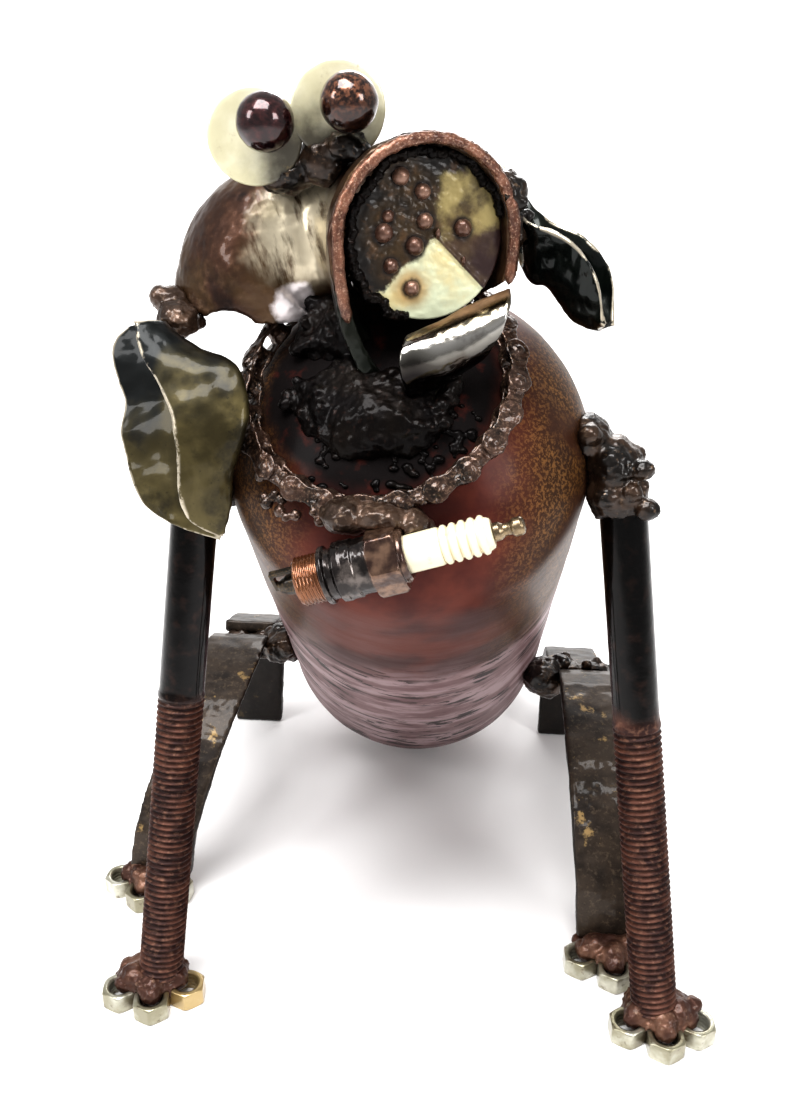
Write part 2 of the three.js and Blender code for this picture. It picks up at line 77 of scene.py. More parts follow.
# The CAD model stands on the middle of its box, so its drawing moves by this much, in millimetres.
DRAWN_EYE = Vector((-19.6, -74, 354.8))
SHIFT = middle("eye_ball_right") / MM - DRAWN_EYE


def at(x, y, z):
    """A point of the dog's drawing, in millimetres, as a place in the frame."""
    return (Vector((x, y, z)) + SHIFT) * MM


TANK_LOW = at(-7.8, 102, 75.2)
TANK_HIGH = at(-1.6, -48.3, 229.1)
TANK_AXIS = (TANK_HIGH - TANK_LOW).normalized()
TANK_LENGTH = (TANK_HIGH - TANK_LOW).length
TANK_WIDE = 69.5            # the tank's radius, in millimetres
TANK_TOP = 50               # how far its upper dome rises
TANK_FOOT = 74              # how far its lower dome reaches
TANK_RIGHT = (Vector((1, 0, 0)) - TANK_AXIS * TANK_AXIS.x).normalized()
TANK_DOWN = TANK_RIGHT.cross(TANK_AXIS)

COLLAR_CENTRE = TANK_HIGH + (TANK_AXIS * 40 - TANK_RIGHT * 9.5 - TANK_DOWN * 5) * MM

FACE_TURN = math.radians(24)
FACE = Vector((math.sin(FACE_TURN), -math.cos(FACE_TURN), 0.06)).normalized()
FACE_RIGHT = Vector((0, 0, 1)).cross(FACE).normalized()
FACE_UP = FACE.cross(FACE_RIGHT)
DISC_CENTRE = at(5.4, -70.5, 313)

PLUG_RISE = math.radians(17.5)
PLUG_AXIS = Vector((math.cos(PLUG_RISE), 0.01, math.sin(PLUG_RISE))).normalized()
PLUG_START = at(0.5, -123.5, 219) - PLUG_AXIS * (42.5 * MM)

LEGS = {
    "left": (at(-102.8, -102.5, 10.6), at(-80.4, -62.4, 229)),
    "right": (at(105, -104.2, 10.6), at(78, -57, 229)),
}
THREAD_LENGTH = {"left": 128, "right": 124}
BOLT_PITCH = 2.54
CHAIN_PITCH = 12.7
NUT_FLATS = 14.3
EYE_RADIUS = 9.5
EYE_TO_WASHER = 10.65
SHEET = 2.3                 # the thickness of the ears and the jaw plate
RIM_RADIUS = 31.2
RIM_END = 0.286             # the height where the muzzle's rim stops, in the frame
RIM_REACH = 2.2             # how near the rim stays to the head's wall
FOOT_TURN = {"front_left": 8, "front_right": 4, "rear_left": -8, "rear_right": 2}


# ------------------------------------------------------------------ camera, floor and light

def camera():
    data = bpy.data.cameras.new("camera")
    data.sensor_width = 36
    data.lens = 36
    data.clip_start = 0.01
    eye = bpy.data.objects.new("camera", data)
    eye.location = at(27.3, -449.3, 367)
    eye.rotation_euler = (math.radians(66), 0, math.radians(5))
    bpy.context.collection.objects.link(eye)
    bpy.context.scene.camera = eye


def area_light(name, place, target, size, power, colour=(1, 1, 1)):
    data = bpy.data.lights.new(name, "AREA")
    data.shape = "RECTANGLE"
    data.size, data.size_y = size
    data.energy = power
    data.color = colour
    lamp = bpy.data.objects.new(name, data)
    lamp.location = place
    lamp.rotation_euler = (Vector(target) - Vector(place)).to_track_quat("-Z", "Y").to_euler()
    bpy.context.collection.objects.link(lamp)


def studio():
    world = bpy.data.worlds.new("studio")
    world.use_nodes = True
    background = world.node_tree.nodes["Background"]
    background.inputs["Color"].default_value = (1, 1, 1, 1)
    background.inputs["Strength"].default_value = 0.5
    bpy.context.scene.world = world
    aim = (0, 0, 0.2)
    area_light("top_light", (-0.15, -0.45, 1.35), aim, (0.9, 0.6), 22)
    area_light("side_light", (0.95, -0.75, 0.75), aim, (0.3, 0.5), 5)
    area_light("left_light", (-0.95, -0.65, 0.8), aim, (0.3, 0.5), 5)
    area_light("back_light", (0.1, 1.1, 0.9), aim, (0.8, 0.4), 7)
    area_light("wall_light", (0, 1.4, 1.9), (0, 4.5, 0.2), (3.0, 0.8), 90)
    bpy.context.scene.view_settings.view_transform = "Standard"
    bpy.context.scene.view_settings.look = "Medium High Contrast"
    backdrop()


def backdrop():
    """A pale floor that curves up into a wall far behind the dog."""
    half, bend, wall = 4.0, 1.2, 3.0
    profile = [(-half, 0.0), (half - bend, 0.0)]
    profile += [(half - bend + bend * math.sin(a), bend - bend * math.cos(a))
                for a in (math.pi / 2 * k / 16 for k in range(1, 17))]
    profile.append((half, wall))
    points = [(x, y, z) for y, z in profile for x in (-half, half)]
    sheet = bpy.data.meshes.new("floor")
    quads = [(2 * k, 2 * k + 1, 2 * k + 3, 2 * k + 2) for k in range(len(profile) - 1)]
    sheet.from_pydata(points, [], quads)
    sheet.polygons.foreach_set("use_smooth", [True] * len(sheet.polygons))
    ground = bpy.data.objects.new("floor", sheet)
    bpy.context.collection.objects.link(ground)
    pale = bpy.data.materials.new("floor")
    pale.use_nodes = True
    shader = pale.node_tree.nodes["Principled BSDF"]
    shader.inputs["Base Color"].default_value = (0.93, 0.92, 0.915, 1)
    shader.inputs["Roughness"].default_value = 0.9
    shader.inputs["Specular IOR Level"].default_value = 0.1
    sheet.materials.append(pale)


camera()
studio()


# ------------------------------------------------------------------ material nodes

class Paint:
    """A material's node tree, with short calls for the nodes that the finishes below use."""

    def __init__(self, name, rough=0.35, metal=0.6, coat=0.6, coat_rough=0.08):
        self.material = bpy.data.materials.new(name)
        self.material.use_nodes = True
        self.tree = self.material.node_tree
        self.shader = self.tree.nodes["Principled BSDF"]
        for key, value in (("Roughness", rough), ("Metallic", metal), ("Coat Weight", coat),
                           ("Coat Roughness", coat_rough), ("Specular IOR Level", 0.3)):
            self.shader.inputs[key].default_value = value
        self.place = self.tree.nodes.new("ShaderNodeTexCoord").outputs["Object"]

    def node(self, kind, inputs=(), **settings):
        made = self.tree.nodes.new(kind)
        for key, value in settings.items():
            setattr(made, key, value)
        for key, value in dict(inputs).items():
            self.feed(made.inputs[key], value)
        return made

    def feed(self, socket, value):
        if isinstance(value, bpy.types.NodeSocket):
            self.tree.links.new(value, socket)
        elif isinstance(value, (tuple, Vector)) and socket.type == "RGBA":
            socket.default_value = (*value[:3], 1)
        else:
            socket.default_value = value

    def noise(self, scale, detail=4, rough=0.55, place=None, distort=0.0):
        made = self.node("ShaderNodeTexNoise", {"Vector": place or self.place, "Scale": scale,
                         "Detail": detail, "Roughness": rough, "Distortion": distort})
        return made.outputs["Fac"]

    def cells(self, scale, place=None, feature="F1"):
        made = self.node("ShaderNodeTexVoronoi", {"Vector": place or self.place, "Scale": scale},
                         feature=feature)
        return made.outputs["Distance"]

    def sharpen(self, value, low, high):
        made = self.node("ShaderNodeMapRange", {"Value": value, "From Min": low, "From Max": high},
                         interpolation_type="SMOOTHSTEP")
        return made.outputs["Result"]

    def sum(self, a, b, kind="ADD"):
        return self.node("ShaderNodeMath", {0: a, 1: b}, operation=kind).outputs["Value"]

    def times(self, a, b):
        return self.sum(a, b, "MULTIPLY")

    def mix(self, share, a, b):
        made = self.node("ShaderNodeMix", data_type="RGBA")
        self.feed(made.inputs["Factor"], share)
        self.feed(made.inputs[6], a)
        self.feed(made.inputs[7], b)
        return made.outputs[2]

    def over(self, colour, mask, share, top):
        """A colour laid over another where a mask says, at some strength."""
        return self.mix(self.times(mask, share), colour, top)

    def mottle(self, scale, detail, low, high, a, b):
        """Two colours in patches."""
        return self.mix(self.sharpen(self.noise(scale, detail), low, high), a, b)

    def wobble(self, scale, detail, size):
        """A random shift, in metres, that makes a border ragged."""
        return self.times(self.sum(self.noise(scale, detail), 0.5, "SUBTRACT"), size)

    def ramp(self, value, *stops):
        made = self.node("ShaderNodeValToRGB", {"Fac": value})
        points = made.color_ramp.elements
        while len(points) < len(stops):
            points.new(0.5)
        for point, (position, colour) in zip(points, stops):
            point.position = position
            point.color = (*colour, 1)
        return made.outputs["Color"]

    def along(self, direction, origin):
        """Distance in metres along a direction from a point."""
        moved = self.node("ShaderNodeVectorMath", {0: self.place, 1: tuple(origin)}, operation="SUBTRACT")
        dot = self.node("ShaderNodeVectorMath", {0: moved.outputs[0], 1: tuple(direction)},
                        operation="DOT_PRODUCT")
        return dot.outputs["Value"]

    def near(self, point, radius, soft=0.35, ragged=0.25, scale=120):
        """1 inside a ball round a point, 0 outside it, with a ragged edge."""
        span = self.node("ShaderNodeVectorMath", {0: self.place, 1: tuple(point)}, operation="DISTANCE")
        wobble = self.times(self.sum(self.noise(scale, 5), 0.5, "SUBTRACT"), radius * ragged * 4)
        span = self.sum(span.outputs["Value"], wobble)
        return self.sharpen(span, radius * (1 + soft), radius * (1 - soft))

    def edge_wear_and_sheen(self):
        """1 along a sheet's rubbed edges, in broken runs: wear, with a painted highlight along the edge."""
        edge = self.node("ShaderNodeAttribute", attribute_name="edge_wear_and_sheen").outputs["Fac"]
        runs = self.sharpen(self.noise(90, 5, 0.65), 0.36, 0.52)
        return self.sharpen(self.times(edge, runs), 0.3, 0.75)

    def bump(self, height, strength=0.4, distance=0.4 * MM, under=None):
        inputs = {"Height": height, "Strength": strength, "Distance": distance}
        if under is not None:
            inputs["Normal"] = under
        return self.node("ShaderNodeBump", inputs).outputs["Normal"]

    def finish(self, colour, rough=None, metal=None, normal=None):
        self.feed(self.shader.inputs["Base Color"], colour)
        for key, value in (("Roughness", rough), ("Metallic", metal), ("Normal", normal)):
            if value is not None:
                self.feed(self.shader.inputs[key], value)
        return self.material

    def turned(self, axis, scale):
        """Coordinates with Z along an axis, then scaled."""
        turn = Vector(axis).rotation_difference(Vector((0, 0, 1))).to_euler()
        first = self.node("ShaderNodeMapping", {"Vector": self.place, "Rotation": tuple(turn)})
        return self.node("ShaderNodeMapping", {"Vector": first.outputs[0], "Scale": scale}).outputs[0]


def rust_finish(name, dark, mid, light, scale=60, rough=(0.22, 0.5), coat=0.7, metal=0.55, relief=0.35,
                extra=None):
    """Lacquered steel with three mottled colours, fine speckle and pits."""
    paint = Paint(name, coat=coat, metal=metal)
    broad = paint.noise(scale, 6, 0.6)
    fine = paint.noise(scale * 9, 5, 0.65)
    speck = paint.sharpen(paint.noise(scale * 22, 3, 0.7), 0.6, 0.72)
    colour = paint.mix(paint.sharpen(broad, 0.35, 0.62), dark, mid)
    colour = paint.mix(paint.times(paint.sharpen(fine, 0.5, 0.7), 0.6), colour, light)
    colour = paint.over(colour, speck, 0.55, tuple(c * 0.3 for c in dark))
    if extra:
        colour = extra(paint, colour)
    spread = paint.node("ShaderNodeMapRange", {"Value": fine, "To Min": rough[0], "To Max": rough[1]})
    height = paint.sum(paint.times(fine, 0.7), paint.times(broad, 0.3))
    return paint.finish(colour, rough=spread.outputs[0], normal=paint.bump(height, relief))


def tank_finish():
    """Rusty and speckled above, maroon in the middle, scratched bare mauve steel below."""
    paint = Paint("tank", coat=0.12, metal=0.5, coat_rough=0.25)
    t = paint.along(TANK_AXIS, TANK_LOW)
    side = paint.along(TANK_RIGHT, TANK_LOW)
    warp = paint.wobble(22, 5, 0.05)
    border = paint.sum(t, warp)
    upper = paint.sharpen(border, 0.118, 0.162)
    across = paint.turned(TANK_AXIS + TANK_RIGHT * 0.15, (1.2, 1.2, 5))
    rings = paint.noise(36, 7, 0.62, across, 0.4)
    clusters = paint.sharpen(paint.noise(17, 4), 0.42, 0.52)
    scratch = paint.times(paint.sharpen(rings, 0.535, 0.56), clusters)
    patches = paint.sharpen(paint.noise(30, 5, 0.6, paint.turned(TANK_AXIS, (1, 1, 3))), 0.42, 0.62)
    bare = paint.mix(paint.noise(16, 3), (0.21, 0.125, 0.130), (0.12, 0.055, 0.055))
    bare = paint.over(bare, patches, 0.75, (0.42, 0.31, 0.32))
    bare = paint.over(bare, scratch, 0.97, (0.020, 0.011, 0.010))
    fleck = paint.sharpen(paint.noise(300, 4, 0.7, paint.turned(TANK_AXIS, (0.4, 0.4, 2))), 0.62, 0.68)
    bare = paint.over(bare, fleck, 0.6, (0.08, 0.04, 0.04))
    broad = paint.noise(26, 5)
    maroon = paint.mix(paint.sharpen(broad, 0.4, 0.62), (0.045, 0.008, 0.006), (0.11, 0.024, 0.014))
    sides = paint.sharpen(paint.node("ShaderNodeMath", {0: side}, operation="ABSOLUTE").outputs[0],
                          0.026, 0.054)
    grain = paint.noise(800, 3, 0.7)
    gold = paint.mix(paint.sharpen(grain, 0.46, 0.60), (0.040, 0.018, 0.008), (0.175, 0.082, 0.028))
    gold = paint.mix(paint.sharpen(paint.noise(40, 5), 0.5, 0.72), gold, (0.055, 0.022, 0.012))
    streak = paint.sharpen(paint.noise(60, 5, 0.6, paint.turned(TANK_AXIS, (1, 1, 0.12))), 0.5, 0.66)
    gold = paint.over(gold, streak, 0.7, (0.035, 0.015, 0.010))
    rusty = paint.mix(sides, maroon, gold)
    colour = paint.mix(upper, bare, rusty)
    soot = paint.near(COLLAR_CENTRE, 43 * MM, 0.12, 0.04, 90)
    black = paint.mottle(110, 5, 0.55, 0.75, (0.006, 0.004, 0.004), (0.06, 0.012, 0.008))
    colour = paint.mix(soot, colour, black)
    rough = paint.node("ShaderNodeMapRange", {"Value": rings, "To Min": 0.36, "To Max": 0.6})
    rough = paint.sum(rough.outputs[0], paint.times(soot, 0.3))
    height = paint.sum(paint.times(rings, 0.5), paint.times(grain, paint.times(upper, 0.6)))
    height = paint.sum(height, paint.times(paint.noise(150, 6, 0.7), paint.times(soot, 4.0)))
    paint.shader.inputs["Specular IOR Level"].default_value = 0.15
    paint.feed(paint.shader.inputs["Coat Weight"], paint.sum(0.12, paint.times(soot, -0.07)))
    return paint.finish(colour, rough=rough, normal=paint.bump(height, 0.25, 0.25 * MM))


def head_finish():
    """A brown tube with heat tints, a painted highlight band, a painted reflection spot and a dark jowl."""
    def patches(paint, colour):
        tint = paint.ramp(paint.noise(20, 4, 0.6, distort=0.6), (0.3, (0.014, 0.007, 0.008)),
                          (0.45, (0.062, 0.028, 0.015)), (0.56, (0.105, 0.062, 0.026)),
                          (0.7, (0.026, 0.011, 0.010)))
        colour = paint.mix(0.6, colour, tint)
        smoke = paint.sharpen(paint.noise(34, 5, 0.6), 0.5, 0.66)
        colour = paint.over(colour, smoke, 0.8, (0.010, 0.006, 0.006))
        dark = paint.near(at(-10, -86, 272), 32 * MM, 0.22, 0.08, 60)
        colour = paint.over(colour, dark, 0.96, (0.006, 0.009, 0.006))
        # Painted highlight: a pale streaky patch where the tube's waist catches the light.
        streak = paint.noise(60, 5, 0.6, paint.turned((0.9, 0.4, 0.2), (1, 1, 4)))
        painted_highlight = paint.near(at(-38.5, -60, 313), 17 * MM, 0.4, 0.2, 80)
        painted_highlight = paint.times(painted_highlight, paint.sharpen(streak, 0.30, 0.52))
        colour = paint.over(colour, painted_highlight, 0.92, (0.70, 0.62, 0.46))
        # Painted reflection: a small near-white spot on the tube's lower side.
        spot = paint.near(at(-42, -61, 287), 7.5 * MM, 0.2, 0.3, 110)
        return paint.mix(spot, colour, (0.85, 0.78, 0.78))
    return rust_finish("head", (0.024, 0.011, 0.008), (0.072, 0.034, 0.021), (0.14, 0.076, 0.048), 40,
                       (0.25, 0.48), 0.25, 0.7, 0.15, patches)


# Weld dots on the nose disc: how far right and up of its centre, and their radius, in millimetres.
DISC_DOTS = ((-9.1, 19.5, 2.9), (-1.5, 14.6, 2.7), (-0.9, 5.1, 2.8), (12.8, 2.3, 3.0), (-15.3, 1.9, 3.2),
             (-4.5, -2.8, 3.1), (-13.8, 7.2, 2.1), (-13.1, -8.8, 2.6), (-5.8, -16.5, 2.6))

# The ends of the disc's crease, in the same coordinates.
CREASE_START = (3.7, -1.2)
CREASE_END = (23.4, -21.3)


def disc_point(x, y, lift=0.0):
    """A point on the nose disc, from its centre to the right, up and out of it."""
    return DISC_CENTRE + FACE_RIGHT * (x * MM) + FACE_UP * (y * MM) + FACE * (lift * MM)


def disc_finish():
    """A sheet steel disc: sooty left, olive above right, pale below, with burnt halos round its dots."""
    paint = Paint("disc", rough=0.42, metal=0.3, coat=0.2, coat_rough=0.15)
    apex = disc_point(*CREASE_START)
    across = paint.along(FACE_RIGHT, apex)
    up = paint.along(FACE_UP, apex)
    wobble = paint.times(paint.sum(paint.noise(110, 6, 0.65), 0.5, "SUBTRACT"), 0.014)

    def past(right, above, soft=0.0012):
        """1 on the far side of a ragged line through the crease's start."""
        share = paint.sum(paint.times(across, right), paint.times(up, above))
        return paint.sharpen(paint.sum(share, wobble), -soft, soft)
    below = paint.sum(paint.times(across, -0.714), paint.times(up, -0.70))
    crease_side = paint.sharpen(below, -0.0002, 0.0002)
    pale = paint.mottle(60, 4, 0.4, 0.65, (0.62, 0.66, 0.47), (0.60, 0.52, 0.28))
    stain = paint.sharpen(paint.noise(160, 6, 0.7), 0.6, 0.72)
    pale = paint.over(pale, stain, 0.5, (0.30, 0.24, 0.12))
    olive = paint.mottle(70, 6, 0.4, 0.62, (0.045, 0.030, 0.014), (0.30, 0.24, 0.10))
    shade = paint.mottle(60, 4, 0.45, 0.7, (0.030, 0.014, 0.013), (0.085, 0.055, 0.030))
    grime = paint.mottle(220, 5, 0.5, 0.72, (0.006, 0.004, 0.003), (0.055, 0.030, 0.016))
    colour = paint.mix(past(-0.15, 1.0, 0.003), shade, olive)
    colour = paint.mix(past(-1.0, 0.10, 0.002), colour, grime)
    colour = paint.mix(paint.times(crease_side, past(0.628, -0.779)), colour, pale)
    top = paint.sharpen(paint.sum(up, wobble), 0.019, 0.023)
    colour = paint.mix(top, colour, grime)
    for x, y, radius in DISC_DOTS:
        halo = paint.near(disc_point(x, y), radius * 2.4 * MM, 0.45, 0.12, 200)
        colour = paint.mix(paint.times(halo, 0.75 if y < -12 else 0.05), colour, (0.36, 0.19, 0.04))
        scorch = paint.near(disc_point(x, y), radius * 1.35 * MM, 0.25, 0.15, 300)
        colour = paint.over(colour, scorch, 0.92, (0.012, 0.007, 0.005))
    height = paint.noise(300, 5)
    return paint.finish(colour, normal=paint.bump(height, 0.3))


def weld_finish(name, dark, mid, light, rough=0.36, coat=0.4, shine=0.3):
    """Lacquered weld metal, with small ripples."""
    paint = Paint(name, rough=rough, metal=0.6, coat=coat, coat_rough=0.12)
    paint.shader.inputs["Specular IOR Level"].default_value = shine
    broad = paint.noise(70, 5)
    fine = paint.noise(420, 5, 0.6)
    colour = paint.mix(paint.sharpen(broad, 0.42, 0.66), dark, mid)
    colour = paint.mix(paint.times(paint.sharpen(fine, 0.56, 0.72), 0.7), colour, light)
    height = paint.sum(paint.times(fine, 0.5), paint.cells(330))
    return paint.finish(colour, normal=paint.bump(height, 0.55, 0.5 * MM))


def washer_finish():
    paint = Paint("washer", rough=0.42, metal=0.25, coat=0.5)
    cloud = paint.noise(45, 5)
    colour = paint.mix(paint.sharpen(cloud, 0.4, 0.65), (0.62, 0.58, 0.39), (0.78, 0.75, 0.58))
    weld = middle("eye_weld")
    grime = paint.near(weld, 17 * MM, 0.45, 0.2, 110)
    colour = paint.over(colour, grime, 0.93, (0.02, 0.014, 0.010))
    stain = paint.sharpen(paint.noise(130, 6, 0.7), 0.58, 0.72)
    colour = paint.over(colour, stain, 0.5, (0.26, 0.19, 0.08))
    dirt = paint.near(at(-10, -70, 344), 11 * MM, 0.5, 0.2, 90)
    colour = paint.over(colour, dirt, 0.7, (0.06, 0.045, 0.025))
    return paint.finish(colour, normal=paint.bump(paint.noise(500, 4), 0.15))


def eye_finish(side, base, grain_colour, top_colour, top_share):
    paint = Paint(f"eye_{side}", rough=0.2, metal=0.6, coat=0.8, coat_rough=0.04)
    top = paint.sharpen(paint.along((0, -0.3, 1), middle(f"eye_ball_{side}")), -0.003, 0.008)
    grain = paint.sharpen(paint.noise(330, 5, 0.65), 0.46, 0.66)
    colour = paint.mix(grain, base, grain_colour)
    rust = paint.mix(paint.sharpen(paint.noise(600, 4, 0.7), 0.42, 0.6), base, top_colour)
    colour = paint.mix(paint.times(top, top_share), colour, rust)
    return paint.finish(colour, normal=paint.bump(paint.noise(700, 4), 0.15))


def ear_finish(name, low, mid, top, origin, tint, inner_x, rough, coat):
    """Oiled sheet steel, one colour low down and another above, with rubbed edges that carry a painted
    highlight.
    """
    paint = Paint(name, rough=rough, metal=0.7, coat=coat, coat_rough=0.08)
    height = paint.along((0, 0, 1), origin)
    warp = paint.wobble(40, 5, 0.05)
    inner = paint.sharpen(paint.along((1, 0, 0), (inner_x, 0, 0)), 0.004, -0.004)
    height = paint.sum(height, paint.times(inner, 0.022))
    share = paint.sharpen(paint.sum(height, warp), 0.002, 0.028)
    body = paint.mix(paint.sharpen(paint.noise(34, 5, distort=0.5), 0.4, 0.62), low, mid)
    smudge = paint.sharpen(paint.noise(50, 6, 0.6), 0.5, 0.64)
    body = paint.over(body, smudge, 0.8, tint)
    colour = paint.mix(share, body, top)
    speck = paint.sharpen(paint.noise(500, 4, 0.7), 0.62, 0.7)
    colour = paint.over(colour, speck, 0.5, tint)
    # Rubbed edges, with a painted highlight along them.
    colour = paint.mix(paint.times(paint.edge_wear_and_sheen(), 0.9), colour, (0.52, 0.46, 0.36))
    return paint.finish(colour, normal=paint.bump(paint.noise(420, 4), 0.12))


def bolt_finish():
    """A black shank above a dull rusty brown thread."""
    paint = Paint("bolt", coat_rough=0.08)
    height = paint.along((0, 0, 1), (0, 0, 0.136))
    warp = paint.wobble(60, 5, 0.016)
    shank = paint.sharpen(paint.sum(height, warp), -0.004, 0.005)
    rust = paint.mottle(120, 6, 0.4, 0.65, (0.028, 0.010, 0.008), (0.10, 0.040, 0.026))
    rust = paint.over(rust, paint.sharpen(paint.noise(420, 5), 0.5, 0.7), 0.6, (0.20, 0.10, 0.065))
    hollow = paint.sharpen(paint.node("ShaderNodeNewGeometry").outputs["Pointiness"], 0.5, 0.44)
    rust = paint.over(rust, hollow, 0.85, (0.010, 0.004, 0.003))
    black = paint.mottle(200, 5, 0.5, 0.7, (0.004, 0.0035, 0.0035), (0.018, 0.010, 0.008))
    paint.feed(paint.shader.inputs["Coat Weight"], paint.times(shank, 0.3))
    rough = paint.sum(0.52, paint.times(shank, -0.3))
    metal = paint.sum(0.35, paint.times(shank, 0.55))
    return paint.finish(paint.mix(shank, rust, black), rough, metal, paint.bump(paint.noise(700, 4), 0.3))


def bar_finish():
    def rust_flecks_and_painted_shade(paint, colour):
        gold = paint.sharpen(paint.noise(85, 6, 0.7), 0.60, 0.68)
        colour = paint.over(colour, gold, 0.75, (0.36, 0.24, 0.10))
        # Painted shadow: the bars go near black towards the back, where the straps' lower parts lie in
        # shadow.
        black = paint.sharpen(paint.along((0, 1, 0), (0, 0.07, 0)), 0.0, 0.02)
        colour = paint.over(colour, black, 0.85, (0.012, 0.010, 0.009))
        # Painted shade: faces turned to the sides are darkened.
        normal = paint.node("ShaderNodeNewGeometry").outputs["Normal"]
        facing = paint.node("ShaderNodeSeparateXYZ", {0: normal})
        side = paint.sharpen(paint.sum(facing.outputs["X"], 0, "ABSOLUTE"), 0.5, 0.8)
        return paint.over(colour, side, 0.8, (0.012, 0.008, 0.006))
    return rust_finish("bar", (0.012, 0.008, 0.006), (0.044, 0.031, 0.022), (0.10, 0.072, 0.048), 55,
                       (0.38, 0.6), 0.2, 0.5, 0.35, rust_flecks_and_painted_shade)


def nut_finish():
    paint = Paint("nut", rough=0.28, metal=0.75, coat=0.5, coat_rough=0.1)
    colour = paint.mottle(55, 4, 0.4, 0.65, (0.27, 0.25, 0.17), (0.60, 0.59, 0.50))
    grime = paint.sharpen(paint.noise(240, 5, 0.65), 0.56, 0.7)
    colour = paint.over(colour, grime, 0.75, (0.09, 0.055, 0.03))
    gold = paint.near(middle("toe_nut_front_left_3"), 11 * MM, 0.2, 0.1)
    colour = paint.over(colour, gold, 0.8, (0.50, 0.36, 0.16))
    for foot in FOOT_TURN:
        soot = paint.near(middle(f"foot_weld_{foot}"), 15 * MM, 0.3, 0.18, 150)
        colour = paint.over(colour, soot, 0.8, (0.05, 0.026, 0.014))
    return paint.finish(colour, normal=paint.bump(paint.noise(600, 4), 0.2))


def jaw_finish():
    """Chrome, rusty along the lip, with a painted highlight band across the middle and painted shade towards
    the throat.
    """
    paint = Paint("jaw", rough=0.14, metal=1.0, coat=0.2)
    ragged = paint.wobble(45, 2, 0.3)
    across = paint.sum(paint.node("ShaderNodeAttribute", attribute_name="down").outputs["Fac"], ragged)
    left = paint.sharpen(paint.along((1, 0, 0.2), at(8, -88, 282)), 0.004, -0.008)
    # Across the plate: rust on the lip, then a painted highlight band in the middle, then painted shade
    # darkening to near black towards the throat.
    colour = paint.ramp(paint.sum(across, paint.times(left, 0.22)),
                        (0.0, (0.20, 0.115, 0.065)), (0.10, (0.34, 0.22, 0.13)), (0.20, (0.10, 0.080, 0.040)),
                        (0.32, (0.30, 0.27, 0.22)), (0.46, (0.46, 0.445, 0.42)), (0.58, (0.22, 0.21, 0.19)),
                        (0.74, (0.05, 0.045, 0.04)), (0.92, (0.008, 0.006, 0.006)))
    smoke = paint.sharpen(paint.noise(90, 5), 0.52, 0.66)
    colour = paint.over(colour, smoke, 0.5, (0.05, 0.035, 0.025))
    lip = paint.sharpen(across, 0.2, 0.08)
    rough = paint.sum(0.14, paint.times(lip, 0.3))
    return paint.finish(colour, rough=rough, normal=paint.bump(paint.noise(300, 4), 0.06))


def ceramic_finish():
    paint = Paint("ceramic", rough=0.22, metal=0.0, coat=0.6)
    dirt = paint.sharpen(paint.noise(230, 6, 0.65), 0.56, 0.72)
    colour = paint.mix(paint.times(dirt, 0.5), (0.80, 0.73, 0.52), (0.42, 0.30, 0.14))
    hollow = paint.sharpen(paint.node("ShaderNodeNewGeometry").outputs["Pointiness"], 0.49, 0.44)
    colour = paint.over(colour, hollow, 0.55, (0.50, 0.38, 0.18))
    return paint.finish(colour, normal=paint.bump(paint.noise(500, 3), 0.1))


def plug_finish():
    """A blackened shell with a rusty thread at one end and a brown hexagon."""
    paint = Paint("plug_steel", rough=0.25, metal=0.8, coat=0.6)
    t = paint.along(PLUG_AXIS, PLUG_START)
    black = paint.mottle(150, 5, 0.48, 0.66, (0.015, 0.011, 0.010), (0.12, 0.10, 0.09))
    rust = paint.mix(paint.noise(260, 5), (0.10, 0.034, 0.014), (0.27, 0.11, 0.045))
    brown = paint.mottle(170, 5, 0.4, 0.65, (0.045, 0.022, 0.016), (0.20, 0.12, 0.08))
    colour = paint.mix(paint.sharpen(t, 0.0175, 0.0165), black, rust)
    colour = paint.mix(paint.sharpen(t, 0.033, 0.0345), colour, brown)
    return paint.finish(colour, normal=paint.bump(paint.noise(500, 4), 0.3))


